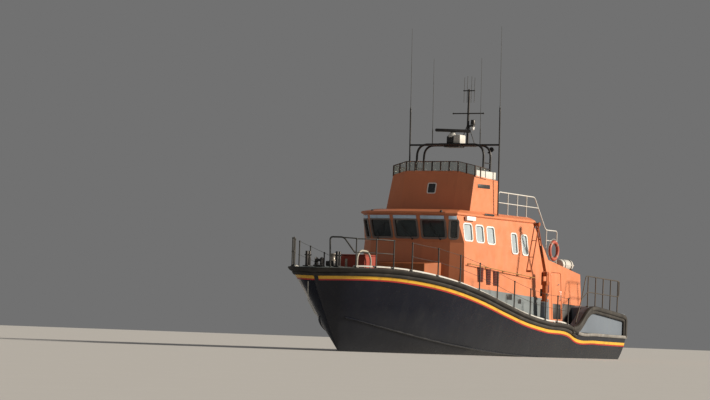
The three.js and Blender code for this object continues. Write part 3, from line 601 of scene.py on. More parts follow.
    def fit(self, name: str, finish: Finish, body: Body = Body.BOAT, node: str = "", flat: float = math.inf
            ) -> None:
        """Ends the shape as a piece that rides on a body.

        Args:
            name: Name of the piece.
            finish: Its finish.
            body: Body that it rides on.
            node: CAD node that it stands for, if any.
            flat: Area from which a face stays flat.
        """
        bmesh.ops.recalc_face_normals(self.bm, faces=list(self.bm.faces))
        for edge in self.bm.edges:
            edge.smooth = len(edge.link_faces) == 2 and edge.calc_face_angle(math.pi) < self.sharp
        for face in self.bm.faces:
            face.smooth = face.calc_area() < flat
        mesh = bpy.data.meshes.new(name)
        self.bm.to_mesh(mesh)
        self.bm.free()
        piece = bpy.data.objects.new(name, mesh)
        bpy.context.scene.collection.objects.link(piece)
        mesh.materials.append(finish.material())
        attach(piece, body.value)
        if node:
            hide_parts(node)
        LOG.info("piece %s on %s", name, body.value)

    def fit_pair(self, name: str, finish: Finish, node: str = "",
                 bodies: tuple[Body, Body] = (Body.BOAT, Body.BOAT)) -> None:
        """Ends a shape of the port side as two pieces, one on each side.

        Args:
            name: Name of the pieces, with braces for the side.
            finish: Their finish.
            node: CAD nodes that they stand for, with braces for the side, if any.
            bodies: Bodies that they ride on.
        """
        twin = Shape(self.bm.copy())
        twin.flip(list(twin.bm.verts), list(twin.bm.faces))
        for shape, side, body in zip((self, twin), SIDES, bodies):
            shape.fit(name.format(side), finish, body, node.format(side))


def rounded(path: Sequence[Point], radius: float, steps: int = 6) -> list[Vector]:
    """Rounds the inner corners of a path.

    Args:
        path: Corner points.
        radius: How far from a corner the curve starts.
        steps: Steps on each curve.

    Returns:
        The points of the rounded path.
    """
    points = [Vector(p) for p in path]
    out = [points[0]]
    for before, corner, after in zip(points, points[1:], points[2:]):
        back, ahead = before - corner, after - corner
        reach = min(radius, back.length / 2, ahead.length / 2)
        start, end = corner + back.normalized() * reach, corner + ahead.normalized() * reach
        for t in (k / steps for k in range(steps + 1)):
            out.append(start * (1 - t) ** 2 + corner * 2 * t * (1 - t) + end * t * t)
    return [*out, points[-1]]


def rounded_rect(width: float, height: float, radius: float, steps: int = 5) -> list[Pair]:
    """Gives the outline of a rectangle with round corners, about its middle.

    Args:
        width: Width over all.
        height: Height over all.
        radius: Radius of the corners.
        steps: Steps on each corner.

    Returns:
        The points, anticlockwise.
    """
    outline = []
    for quarter, (sx, sy) in enumerate(((1, 1), (-1, 1), (-1, -1), (1, -1))):
        for turn in (math.pi / 2 * (quarter + k / steps) for k in range(steps + 1)):
            outline.append((sx * (width / 2 - radius) + radius * math.cos(turn),
                            sy * (height / 2 - radius) + radius * math.sin(turn)))
    return outline


def softened(node: str, name: str, finish: Finish, width: float, body: Body = Body.BOAT, least: float = 0.0
             ) -> None:
    """Stands for a CAD node with the same form and rounded edges.

    Args:
        node: The CAD node.
        name: Name of the piece.
        finish: Its finish.
        width: Width of the rounding.
        body: Body that it rides on.
        least: Shortest edge that is rounded, or zero for all, as wide as the smallest allows.
    """
    shape = Shape()
    bm = shape.bm
    bm.from_mesh(bpy.data.objects[node].data)
    bmesh.ops.remove_doubles(bm, verts=list(bm.verts), dist=2e-4)
    bmesh.ops.dissolve_limit(bm, angle_limit=math.radians(1.5), verts=list(bm.verts), edges=list(bm.edges))
    edges = [edge for edge in bm.edges if len(edge.link_faces) == 2
             and edge.calc_face_angle(0.0) > math.radians(28) and edge.calc_length() > least]
    shape.soften(edges, width, 3 if least else 2, not least)
    shape.fit(name, finish, body, node, 0.02)


def curve_through(table: np.ndarray, place: slice, count: int) -> np.ndarray:
    """Interpolates a table's rows with smooth curves.

    Args:
        table: One row for each point.
        place: Columns along which the new rows are evenly spaced.
        count: Number of rows wanted.

    Returns:
        The new rows, with the table's columns.
    """
    run = np.concatenate([[0], np.cumsum(np.linalg.norm(np.diff(table[:, place], axis=0), axis=1))])
    slope = np.gradient(table, run, axis=0)
    spots = np.linspace(0, run[-1], count)
    k = np.clip(np.searchsorted(run, spots, side="right") - 1, 0, len(run) - 2)
    reach = (run[k + 1] - run[k])[:, None]
    u = (spots - run[k])[:, None] / reach
    first = (2 * u**3 - 3 * u**2 + 1) * table[k] + (u**3 - 2 * u**2 + u) * reach * slope[k]
    return first + (3 * u**2 - 2 * u**3) * table[k + 1] + (u**3 - u**2) * reach * slope[k + 1]


@dataclass(frozen=True)
class HullLines:
    """Smooth lines through the sections of the hull."""

    sections: tuple[tuple[float, ...], ...] = (
        # x and height at the keel; x, half-breadth and height at the chine and at the sheer; fullness between
        (-8.6, -0.62, -8.6, 2.25, -0.05, -8.6, 2.56, 0.86, 0.72),
        (-6.0, -0.9, -6.0, 2.35, -0.06, -6.0, 2.68, 0.9, 0.72),
        (-4.3, -1.0, -4.3, 2.38, -0.05, -4.3, 2.76, 0.96, 0.72),
        (-3.8, -1.02, -3.8, 2.385, -0.045, -3.8, 2.78, 1.11, 0.72),
        (-2.0, -1.06, -2.0, 2.38, 0.0, -2.0, 2.82, 1.24, 0.72),
        (-0.5, -1.08, -0.5, 2.35, 0.06, -0.5, 2.83, 1.43, 0.7),
        (1.0, -1.08, 1.0, 2.28, 0.14, 1.0, 2.815, 1.73, 0.68),
        (2.5, -1.06, 2.5, 2.13, 0.26, 2.5, 2.76, 2.07, 0.64),
        (4.0, -1.0, 4.0, 1.86, 0.43, 4.0, 2.64, 2.35, 0.6),
        (5.2, -0.86, 5.3, 1.5, 0.64, 5.5, 2.37, 2.55, 0.56),
        (6.0, -0.62, 6.35, 1.08, 0.85, 6.8, 1.93, 2.65, 0.52),
        (6.6, -0.32, 7.1, 0.68, 1.02, 7.75, 1.42, 2.66, 0.5),
        (6.92, -0.06, 7.56, 0.35, 1.12, 8.33, 0.83, 2.64, 0.5),
        (7.05, 0.08, 7.8, 0.045, 1.18, 8.6, 0.09, 2.62, 0.5),
    )
    rise: float = 0.55
    rake: float = 1.12
    camber: float = 0.02

    def rows(self, count: int) -> np.ndarray:
        """Gives sections evenly spaced along the sheer, with the table's columns."""
        return curve_through(np.array(self.sections), slice(5, 8), count)

    def topside(self, row: np.ndarray, v: float) -> Vector:
        """Gives a point between the chine and the sheer.

        Args:
            row: A section.
            v: Share of the height, 0 at the chine and 1 at the sheer.

        Returns:
            The point, on the port side.
        """
        chine, sheer, r = Vector(row[2:5]), Vector(row[5:8]), self.rise
        middle = Vector((row[2] + r * self.rake * (row[5] - row[2]), row[3] + row[8] * (row[6] - row[3]),
                         row[4] + r * (row[7] - row[4])))
        return (chine * ((v - r) * (v - 1) / r) + middle * (v * (v - 1) / (r * (r - 1)))
                + sheer * (v * (v - r) / (1 - r)))

    def below_sheer(self, row: np.ndarray, drop: float) -> Vector:
        """Gives the topside's point at a depth below the sheer."""
        return self.topside(row, 1 - drop / (row[7] - row[4]))

    def outward(self, rows: np.ndarray) -> list[Vector]:
        """Gives the level direction out of the hull at each section.

        Args:
            rows: The sections.

        Returns:
            The directions, on the port side.
        """
        run = np.gradient(rows[:, 5:7], axis=0)
        run[0, 1] = 0.0
        return [Vector((-dy, dx, 0)).normalized() for dx, dy in run]

    def sheer(self, x: float) -> Vector:
        """Gives the deck edge on the port side at a distance forward."""
        rows = self.rows(240)
        return Vector((x, np.interp(x, rows[:, 5], rows[:, 6]), np.interp(x, rows[:, 5], rows[:, 7])))

    def edge(self, start: float, end: float, inset: float, lift: float, step: float = 0.25) -> list[Vector]:
        """Gives a run of points along the port deck edge.

        Args:
            start: First distance forward.
            end: Last distance forward.
            inset: Distance inboard of the edge.
            lift: Height above the edge.
            step: Spacing wanted.

        Returns:
            The points.
        """
        count = max(2, round(abs(end - start) / step))
        spots = [start + (end - start) * k / count for k in range(count + 1)]
        return [self.sheer(x) + Vector((0, -inset, lift)) for x in spots]

    def deck(self, x: float, y: float) -> float:
        """Gives the height of the cambered walking deck."""
        edge = self.sheer(x)
        return edge.z + self.camber * (edge.y - abs(y))


LINES = HullLines()


@dataclass
class Hull:
    """The hull, its chine rail, fender and stripes."""

    belt_tall: float = 0.26
    yellow: Pair = (0.002, 0.095)
    red: Pair = (0.096, 0.14)
    stripe_proud: float = 0.005
    stripe_sunk: float = 0.004
    foremost: float = 8.664
    widest: float = 2.917
    climb_half: float = 0.13
    belly: float = 0.05
    belt: tuple[Pair, ...] = (
        # distance out, then depth as a share of the fender's height: the upper roll, the groove, the lower roll
        (-0.004, 0.0), (0.045, 0.0), (0.085, 0.035), (0.105, 0.11), (0.11, 0.23), (0.106, 0.36), (0.088, 0.47),
        (0.06, 0.54), (0.036, 0.565), (0.036, 0.6), (0.052, 0.635), (0.06, 0.71), (0.06, 0.86), (0.052, 0.95),
        (0.03, 0.985), (-0.004, 1.0),
    )
    climb: tuple[Spot, ...] = (
        # middle of the fender where it climbs to the quarter deck
        (-8.47, 2.53, 0.8), (-8.47, 2.53, 1.44), (-8.3, 2.545, 1.5), (-7.0, 2.61, 1.62), (-5.75, 2.68, 1.73),
        (-5.4, 2.69, 1.69), (-5.08, 2.705, 1.53), (-4.76, 2.72, 1.26), (-4.45, 2.74, 1.06), (-4.15, 2.76, 0.985),
        (-3.9, 2.775, 0.985),
    )
    climb_section: tuple[Pair, ...] = (
        # distance out, then share of half the width
        (-0.03, 1.0), (0.05, 1.0), (0.085, 0.88), (0.105, 0.6), (0.109, 0.25), (0.1, -0.05), (0.075, -0.2),
        (0.06, -0.27), (0.062, -0.36), (0.075, -0.5), (0.075, -0.8), (0.055, -1.0), (-0.03, -1.0),
    )
    strake: tuple[Pair, ...] = (
        # distance out, then depth below the sheer
        (0.004, 0.004), (0.055, 0.006), (0.07, 0.03), (0.07, 0.08), (0.055, 0.104), (0.004, 0.11),
    )
    spray_rail: tuple[Pair, ...] = ((-0.01, 0.03), (0.035, 0.012), (0.035, -0.012), (-0.01, -0.03))

    def section(self, row: np.ndarray) -> list[Vector]:
        """Gives the half section from the keel to the sheer.

        Args:
            row: The section.

        Returns:
            Its points.
        """
        keel, chine = Vector((row[0], 0, row[1])), Vector(row[2:5])
        belly = keel.lerp(chine, 0.5) - up(self.belly)
        bottom = [keel * (1 - t) ** 2 + belly * 2 * t * (1 - t) + chine * t * t for t in (0.0, 0.2, 0.4, 0.6, 0.8)]
        return bottom + [LINES.topside(row, k / 9) for k in range(10)]

    def shell(self) -> None:
        """Builds the hull's skin, closed by the transom and the deck."""
        shape = Shape()
        halves = [self.section(row) for row in LINES.rows(96)]
        shape.loft([half + [Vector((p.x, -p.y, p.z)) for p in reversed(half[1:])] for half in halves])
        shape.fit("hull_shell", NAVY, node="hull")

    def band(self, name: str, span: Pair, finish: Paint) -> None:
        """Lays a painted stripe on the topsides, as a thin skin.

        Args:
            name: Name of the stripe's colour.
            span: Depth of its upper and lower edge below the fender.
            finish: Its finish.
        """
        shape = Shape()
        rows = LINES.rows(140)
        rings = []
        for row, out in zip(rows, LINES.outward(rows)):
            high, low = (LINES.below_sheer(row, self.belt_tall + depth) for depth in span)
            skin, root = out * self.stripe_proud, out * self.stripe_sunk
            rings.append([high - root, high + skin, low + skin, low - root])
        shape.loft(rings)
        shape.both_sides().fit(f"band_{name}", finish, node=f"stripe_{name}")

    def fender_rings(self, rows: np.ndarray) -> list[list[Vector]]:
        """Carries the fender's section along the sheer and round the stem.

        Args:
            rows: Sections from aft to the stem.

        Returns:
            The rings, the last one on the centreline.
        """
        rings = [[LINES.below_sheer(row, share * self.belt_tall) + out * o for o, share in self.belt]
                 for row, out in zip(rows, LINES.outward(rows))]
        stem = rings[-1]
        for turn in (0.55, 1.0):
            rings.append([Vector((p.x + 0.01 * turn, p.y * (1 - turn), p.z)) for p in stem])
        for point in (point for ring in rings for point in ring):
            point.x, point.y = min(point.x, self.foremost), min(point.y, self.widest)
        return rings

    def climb_rings(self) -> list[list[Vector]]:
        """Carries the fender up to the quarter deck and down the transom's corner.

        Returns:
            The rings, from the transom forward.
        """
        path = rounded(self.climb, 0.35, 5)
        rings = []
        for i, point in enumerate(path):
            along = (path[min(i + 1, len(path) - 1)] - path[max(i - 1, 0)]).normalized()
            out = (Vector((0, 1, 0)) - along * along.y).normalized()
            across = along.cross(out) * self.climb_half
            rings.append([point + out * a + across * b for a, b in self.climb_section])
        return rings

    def fender(self) -> None:
        """Builds the two rubber rolls along the sheer, their climb aft, and the strake that runs on aft."""
        rows = LINES.rows(150)
        shape = Shape()
        shape.loft(self.fender_rings(rows[rows[:, 5] > -4.3]))
        shape.loft(self.climb_rings())
        shape.both_sides().fit("sheer_fender_rubber", RUBBER, node="sheer_fender")
        aft = rows[rows[:, 5] < -3.9]
        low = Shape()
        low.loft([[LINES.below_sheer(row, depth) + out * o for o, depth in self.strake]
                  for row, out in zip(aft, LINES.outward(aft))])
        # the strake's pale rubber is partly wear, partly painted highlight
        low.both_sides().fit("quarter_strake", RUBBER_LIT_WORN)

    def chine(self) -> None:
        """Builds the spray rail along the chine."""
        rows = LINES.rows(120)
        fore = rows[(rows[:, 5] > -8.5) & (rows[:, 5] < 8.2)]
        shape = Shape()
        shape.loft([[Vector(row[2:5]) + out * o + up(lift) for o, lift in self.spray_rail]
                    for row, out in zip(fore, LINES.outward(fore))])
        shape.both_sides().fit("chine_rail", NAVY)

    def build(self) -> None:
        """Builds the hull's pieces."""
        self.shell()
        self.band("yellow", self.yellow, YELLOW)
        self.band("red", self.red, RED)
        self.fender()
        self.chine()


@dataclass
class Decks:
    """The main deck and the raised quarter deck."""

    aft: float = -4.36
    foremost: float = 8.58
    inset: float = 0.012
    least_half: float = 0.04
    thick: float = 0.04

    def build(self) -> None:
        """Builds the cambered deck plate and the quarter deck."""
        rings = []
        for x in (self.aft, *(row[5] for row in LINES.rows(120) if row[5] > self.aft)):
            edge = LINES.sheer(min(x, self.foremost))
            half, rise = max(edge.y - self.inset, self.least_half), LINES.camber * edge.y
            top = [Vector((edge.x, half * k, edge.z + rise * (1 - abs(k)))) for k in (1, 0.5, 0, -0.5, -1)]
            rings.append(top + [p - up(self.thick) for p in reversed(top)])
        shape = Shape()
        shape.loft(rings)
        shape.fit("deck_plate", DECK, node="main_deck")
        softened("quarter_deck", "quarter_deck_moulding", QUARTER, 0.02)


@dataclass
class GuardRails:
    """Guard rails and toe rails round the deck."""

    tall: float = 0.93
    middle: float = 0.48
    inset: float = 0.05
    bar: float = 0.019
    middle_bar: float = 0.014
    wire: float = 0.006
    sag: float = 0.03
    post: float = 0.022
    forward: tuple[float, ...] = (8.0, 7.45, 6.85)
    side: tuple[float, ...] = (6.15, 5.0, 3.85, 2.7, 1.55, 0.4, -0.75, -1.9, -2.8, -3.65)
    stern: tuple[float, ...] = (-5.45, -6.1, -6.75, -7.4, -8.05)
    stern_drop: float = 0.56
    toe_section: tuple[Pair, ...] = (
        (-0.025, 0.028), (-0.025, 0.07), (-0.018, 0.075), (0.018, 0.075), (0.025, 0.07), (0.025, 0.028))
    bow_frame: tuple[Spot, ...] = ((8.33, 0.42, 2.64), (8.36, 0.4, 3.6), (8.23, 0.83, 3.6), (8.02, 1.13, 3.12))
    stern_leg: tuple[Spot, ...] = ((-4.5, 2.6, 1.1), (-4.52, 2.6, 1.3), (-4.9, 2.59, 2.0), (-5.25, 2.575, 2.9))

    def posts(self, spots: Iterable[float]) -> Shape:
        """Starts a rail with its posts, each with a flange at the foot and a ball at each bar.

        Args:
            spots: Distances forward of the posts.

        Returns:
            The rail's shape.
        """
        shape = Shape()
        for x in spots:
            foot = LINES.sheer(x) + Vector((0, -self.inset, 0.002))
            shape.tube([foot, foot + up(self.tall - 0.02)], self.post)
            shape.drum(foot, foot + up(0.016), 0.055, sides=16)
            shape.drum(foot + up(0.016), foot + up(0.06), 0.032, 0.023, sides=16)
            for lift in (self.tall - 0.022, self.middle - 0.002):
                shape.ball(foot + up(lift), 0.031, sides=12)
        return shape

    def wires(self, shape: Shape, spots: Sequence[float]) -> None:
        """Adds two wires that sag a little from post to post.

        Args:
            shape: Shape of the rail.
            spots: Distances forward of the posts.
        """
        for lift in (self.tall - 0.015, self.middle):
            for ends in zip(spots, spots[1:]):
                fore, aft = (LINES.sheer(x) + Vector((0, -self.inset, lift)) for x in ends)
                run = [fore.lerp(aft, t) - up(self.sag * t * (1 - t)) for t in (0, 0.25, 0.5, 0.75, 1)]
                shape.tube(run, self.wire, 8)

    def toe_rails(self) -> None:
        """Builds the white toe rails on their feet."""
        shape = Shape()
        path = LINES.edge(-3.9, 8.0, 0.115, 0.0, 0.2)
        shape.loft([[p + Vector((0, y, z)) for y, z in self.toe_section] for p in path])
        for point in path[::3]:
            shape.box(point + Vector((-0.05, -0.02, -0.01)), point + Vector((0.05, 0.02, 0.035)), 0.003)
        shape.fit_pair("toe_rail_{}_bar", WHITE, "toe_rail_{}")

    def side_rails(self) -> None:
        """Builds the guard rails of the sides."""
        shape = self.posts(self.side)
        self.wires(shape, self.side)
        shape.fit_pair("side_rail_{}_tubes", BLACK_RAIL, "side_rail_{}")

    def bow_rails(self) -> None:
        """Builds the rails of the bow, with bars and a tall braced frame to port and wires to starboard."""
        port, starboard = (self.posts(self.forward) for _ in SIDES)
        for lift, radius in ((self.tall - 0.02, self.bar), (self.middle, self.middle_bar)):
            port.tube(LINES.edge(self.forward[-1], self.forward[0], self.inset, lift), radius)
        port.tube(rounded(self.bow_frame, 0.1), 0.026)
        port.tube([(8.23, 0.83, 3.59), (8.0, 1.138, 3.575)], self.bar)
        port.drum((8.33, 0.42, 2.63), (8.33, 0.42, 2.66), 0.06, sides=16)
        port.fit("bow_rail_port_tubes", BLACK_RAIL, node="bow_rail_port")
        self.wires(starboard, self.forward)
        starboard.flip(list(starboard.bm.verts), list(starboard.bm.faces))
        starboard.fit("bow_rail_starboard_tubes", BLACK_RAIL, node="bow_rail_starboard")

    def quarter_rails(self) -> None:
        """Builds the steel rails on the quarter deck, with their sloping fore legs."""
        shape = Shape()
        aft = [x - self.stern[0] for x in self.stern]
        points = [Vector((x, 2.56 + d * 0.045, 2.9 + d * 0.035)) for x, d in zip(self.stern, aft)]
        for point, d in zip(points, aft):
            foot = Vector((point.x, point.y, 1.83 + d * 0.068))
            shape.tube([foot, point], self.post)
            shape.drum(foot - up(0.02), foot + up(0.02), 0.055, sides=16)
        last, drop = points[-1], up(self.stern_drop)
        ends = [last, last + Vector((-0.14, -0.02, -0.02)), last + Vector((-0.15, -0.02, -0.54)), last - drop]
        shape.tube(rounded([*self.stern_leg, *points[:-1], *ends], 0.1, 4), self.bar)
        for run in ([p - drop for p in points], [(-4.93, 2.588, 2.08), points[0] - drop]):
            shape.tube(run, self.bar * 0.85)
        shape.fit_pair("quarter_rail_{}_tubes", RAIL_BROWN, "quarter_rail_{}")

    def build(self) -> None:
        """Builds the rails of both sides."""
        self.toe_rails()
        self.side_rails()
        self.bow_rails()
        self.quarter_rails()


@dataclass(frozen=True)
class Panel:
    """A flat stretch of wall, with axes along it to the right and up, seen from outside."""

    origin: Vector
    right: Vector
    up: Vector

    @staticmethod
    def through(left: Point, right: Point, top: Point) -> "Panel":
        """Fits a panel to three points.

        Args:
            left: Lower left corner.
            right: Another point of the lower edge.
            top: A point of the upper edge.

        Returns:
            The panel.
        """
        start = Vector(left)
        along = (Vector(right) - start).normalized()
        rise = Vector(top) - start
        return Panel(start, along, (rise - along * rise.dot(along)).normalized())

    @property
    def out(self) -> Vector:
        """Gives the direction out of the wall."""
        return self.right.cross(self.up)

    def at(self, a: float, b: float, out: float = 0.0) -> Vector:
        """Gives the point at a distance right, up and out."""
        return self.origin + self.right * a + self.up * b + self.out * out

    def spot(self, axis: int, value: float, z: float) -> Pair:
        """Gives the distances right and up of a point with a height and one level coordinate.

        Args:
            axis: 0 for x or 1 for y.
            value: The coordinate.
            z: The height.

        Returns:
            Distance right and distance up.
        """
        b = (z - self.origin.z) / self.up.z
        return (value - self.origin[axis] - b * self.up[axis]) / self.right[axis], b


@dataclass(frozen=True)
class Opening:
    """A window opening: place on its panel, size and corner radius."""

    panel: Panel
    middle: Pair
    size: Pair
    radius: float

    gasket: tuple[Pair, ...] = ((-0.012, -0.03), (-0.02, -0.024), (-0.026, -0.03), (-0.02, -0.036))
    lip: float = 0.014
    screw_inset: float = 0.08

    def ring(self, grow: float, out: float) -> list[Vector]:
        """Gives the opening's outline, grown and moved out."""
        outline = rounded_rect(self.size[0] + 2 * grow, self.size[1] + 2 * grow, max(0.01, self.radius + grow))
        return [self.panel.at(self.middle[0] + a, self.middle[1] + b, out) for a, b in outline]

    def frame(self, shape: Shape, width: float, proud: float) -> None:
        """Adds a flanged frame that lips into the opening.

        Args:
            shape: Shape of the frames.
            width: Width of the flange.
            proud: How far it stands out from the wall.
        """
        lip = self.lip
        section = ((width, -0.003), (width, proud - 0.005), (width - 0.006, proud), (-lip + 0.006, proud),
                   (-lip, proud - 0.006), (-lip, -0.045), (-0.002, -0.045), (-0.002, -0.003))
        shape.collar([self.ring(*step) for step in section])

    def screws(self, shape: Shape) -> None:
        """Adds four screw heads along each side of the frame.

        Args:
            shape: Shape of the frames.
        """
        w, h = (length / 2 + 0.016 for length in self.size)
        across, upward = ([(2 * k / 3 - 1) * (half - self.screw_inset) for k in range(4)] for half in (w, h))
        for a, b in [(a, s * h) for a in across for s in (1, -1)] + [(s * w, b) for b in upward for s in (1, -1)]:
            at = self.middle[0] + a, self.middle[1] + b
            shape.drum(self.panel.at(*at, 0.012), self.panel.at(*at, 0.0235), 0.0055, sides=8)

    def glaze(self, frame: Shape, pane: Shape, rubber: Shape, width: float, proud: float) -> None:
        """Adds the frame, its screws, the glass inside the lip and the rubber between them.

        Args:
            frame: Shape of the frames.
            pane: Shape of the panes.
            rubber: Shape of the gaskets.
            width: Width of the frame's flange.
            proud: How far it stands out from the wall.
        """
        self.frame(frame, width, proud)
        self.screws(frame)
        pane.plate(self.ring(-0.004, -0.034), self.panel.out * -0.008)
        rubber.collar([self.ring(*step) for step in self.gasket])


@dataclass
class Wheelhouse:
    """The wheelhouse with its roof, windows and outside fittings."""

    side_windows: tuple[tuple[float, float, float, float], ...] = (
        # x of the forward edge, width, height of the foot, height
        (2.38, 0.56, 3.79, 0.56), (1.56, 0.52, 3.77, 0.56), (0.8, 0.52, 3.75, 0.56),
        (-0.9, 0.4, 3.5, 0.68), (-1.64, 0.4, 3.48, 0.68),
    )
    front_width: float = 0.84
    wing_width: float = 0.8
    corner_width: float = 0.25
    wing_y: float = 1.0
    corner_y: float = 1.66
    front_foot: float = 3.85
    front_head: float = 4.42
    side_frame: Pair = (0.032, 0.014)
    front_frame: Pair = (0.054, 0.02)
    visor_z: float = 4.51
    wiper_foot_z: float = 3.8
    louvres: tuple[tuple[float, float, float, float], ...] = (
        # x of the forward and the aft edge, height of the head and the foot
        (1.565, 1.184, 2.94, 2.45), (0.974, 0.657, 2.9, 2.37), (0.482, 0.094, 2.85, 2.36),
    )
    blades: int = 9
    boxes: tuple[tuple[Spot, Spot], ...] = (
        ((0.34, 1.86, 4.685), (1.01, 1.874, 4.75)), ((-0.786, 2.0, 1.914), (-0.415, 2.05, 2.106)),
        ((-1.444, 2.0, 1.8), (-1.214, 2.052, 1.96)),
    )
    red_box: tuple[Spot, Spot] = ((-3.5, 1.96, 2.24), (-3.22, 2.05, 2.64))
    lamps: tuple[Spot, ...] = ((3.05, 1.35, 4.67), (2.95, -1.35, 4.67))
    floodlight: Spot = (1.98, 1.875, 4.525)
    handrail_x: tuple[float, ...] = (2.3, 2.2, 1.0, -0.2, -1.3, -2.2, -2.3)
    band_fore: float = 2.37
    band_aft: float = -3.515
    band_proud: float = 0.028

    side: Panel = Panel.through((0, 1.915, 3.7), (-1, 1.915, 3.7), (0, 1.79, 4.6))
    front: Panel = Panel.through((2.835, 0, 3.7), (2.835, 1, 3.7), (3.13, 0, 4.6))
    wing: Panel = Panel.through((2.835, 0.5, 3.7), (2.675, 1.52, 3.7), (3.13, 0.5, 4.6))
    corner: Panel = Panel.through((2.675, 1.52, 3.7), (2.425, 1.915, 3.7), (2.97, 1.45, 4.6))

    def wall(self, z: float) -> float:
        """Gives the half-breadth of the side wall at a height."""
        return float(np.interp(z, [0.7, 3.41, 3.7, 4.6], [2.08, 1.935, 1.915, 1.79]))

    def front_opening(self, panel: Panel, y: float, width: float) -> Opening:
        """Gives a window of the front.

        Args:
            panel: Its wall.
            y: Its middle.
            width: Its width along the wall.

        Returns:
            The opening.
        """
        tall = (self.front_head - self.front_foot) / self.front.up.z
        return Opening(panel, panel.spot(1, y, (self.front_foot + self.front_head) / 2), (width, tall), 0.06)

    def windows(self) -> None:
        """Builds frames, gaskets and panes."""
        white, grey, glass, pale, rubber = (Shape() for _ in range(5))
        for x, w, z, h in self.side_windows:
            opening = Opening(self.side, self.side.spot(0, x - w / 2, z + h / 2), (w, h), 0.09)
            opening.glaze(white, pale, rubber, *self.side_frame)
        for panel, y, width in ((self.wing, self.wing_y, self.wing_width / self.wing.right.y),
                                (self.corner, self.corner_y, self.corner_width)):
            self.front_opening(panel, y, width).glaze(grey, glass, rubber, *self.front_frame)
        for shape in (white, grey, glass, pale, rubber):
            shape.both_sides()
        self.front_opening(self.front, 0.0, self.front_width).glaze(grey, glass, rubber, *self.front_frame)
        white.fit("side_window_frames", FRAME_WHITE)
        grey.fit("front_window_frames", FRAME_GREY)
        pale.fit("side_window_panes", SIDE_GLASS)
        glass.fit("front_window_panes", DARK_GLASS, node="window_glass")
        rubber.fit("window_gaskets", RUBBER)

    def visors(self) -> None:
        """Builds the strips over the front panes, whose pale blue is partly their own tint and partly the sky's
        light and reflection painted in, and the wipers.
        """
        strip, wiper = Shape(), Shape()
        self.visor(strip, wiper, self.wing, self.wing_y, 0.84)
        self.visor(strip, wiper, self.corner, self.corner_y, 0.27)
        for shape in (strip, wiper):
            shape.both_sides()
        self.visor(strip, wiper, self.front, 0.0, 0.88)
        strip.fit("window_visors", VISOR_SKY_LIT)
        wiper.fit("window_wipers", BLACK)

    def visor(self, strip: Shape, wiper: Shape, panel: Panel, y: float, width: float) -> None:
        """Adds one visor, and the wiper of its pane where that is wide.

        Args:
            strip: Shape of the visors.
            wiper: Shape of the wipers.
            panel: Wall that they are on.
            y: Middle of the pane.
            width: Width of the visor.
        """
        a, b = panel.spot(1, y, self.visor_z)
        half = width / 2
        corners = ((a - half, b - 0.055), (a + half, b - 0.055), (a + half, b + 0.06), (a - half, b + 0.06))
        strip.plate([panel.at(u, v, -0.004) for u, v in corners], panel.out * 0.03, 0.006)
        if width > 0.5:
            foot = panel.spot(1, y + 0.2, self.wiper_foot_z)
            tip = (foot[0] - 0.27, foot[1] + 0.42)
            wiper.drum(panel.at(*foot, -0.01), panel.at(*foot, 0.045), 0.028, sides=14, bevel=0.006)
            wiper.tube([panel.at(*foot, 0.04), panel.at(*tip, 0.03)], 0.007, 8)
            blade = ((tip[0] - 0.09, tip[1] + 0.12), (tip[0] + 0.06, tip[1] - 0.26))
            wiper.tube([panel.at(*p, 0.014) for p in blade], 0.008, 8)

    def foot_band(self) -> None:
        """Builds the blue-grey band along the foot of the side walls."""
        shape = Shape()
        rings = []
        for x in (self.band_fore + (self.band_aft - self.band_fore) * k / 12 for k in range(13)):
            top, foot = 2.27 - (2.35 - x) * 0.26 / 5.85, LINES.deck(x, 2.0) - 0.01
            rings.append([(x, self.wall(z) + out, z) for z, out in (
                (foot, -0.02), (foot, self.band_proud), (top - 0.012, self.band_proud), (top + 0.002, 0.018),
                (top + 0.002, -0.02))])
        shape.loft(rings)
        shape.both_sides().fit("house_foot_band", BOOT)

    def handrails(self) -> None:
        """Builds the handrails along the sides, on stand-off brackets."""
        shape = Shape()
        spots = [Vector((x, 2.1, 2.87 + x * 0.065)) for x in self.handrail_x]
        shape.tube(spots, 0.016)
        for spot in spots[1:-1]:
            wall = Vector((spot.x, self.wall(spot.z) - 0.004, spot.z))
            shape.tube([spot, wall], 0.012, 8)
            shape.drum(wall, wall + Vector((0, 0.022, 0)), 0.034, sides=14)
        for end in (spots[0], spots[-1]):
            shape.ball(end, 0.018)
        shape.both_sides().fit("house_handrails", HANDRAIL)

    def louvre(self, red: Shape, dark: Shape, edges: tuple[float, float, float, float]) -> None:
        """Adds a louvred vent to the port side.

        Args:
            red: Shape of the louvres.
            dark: Shape of the black fittings, which also takes the black plate of painted shade inside the vent.
            edges: Distance forward of its two edges, and height of its head and foot.
        """
        fore, aft, head, foot = edges
        y, rim = self.wall((head + foot) / 2), 0.02
        red.box((aft, y - 0.01, foot), (fore, y + 0.012, head), 0.004)
        for k in range(self.blades):
            z = foot + (head - foot) * (k + 0.6) / self.blades
            red.plate([(aft + rim, y + 0.01, z), (fore - rim, y + 0.01, z), (fore - rim, y + 0.045, z - 0.03),
                       (aft + rim, y + 0.045, z - 0.03)], (0, 0.003, 0.007))
        # black plate behind the blades: painted shade inside the vent
        dark.box((aft + rim, y + 0.011, foot + rim), (fore - rim, y + 0.013, head - rim), 0)

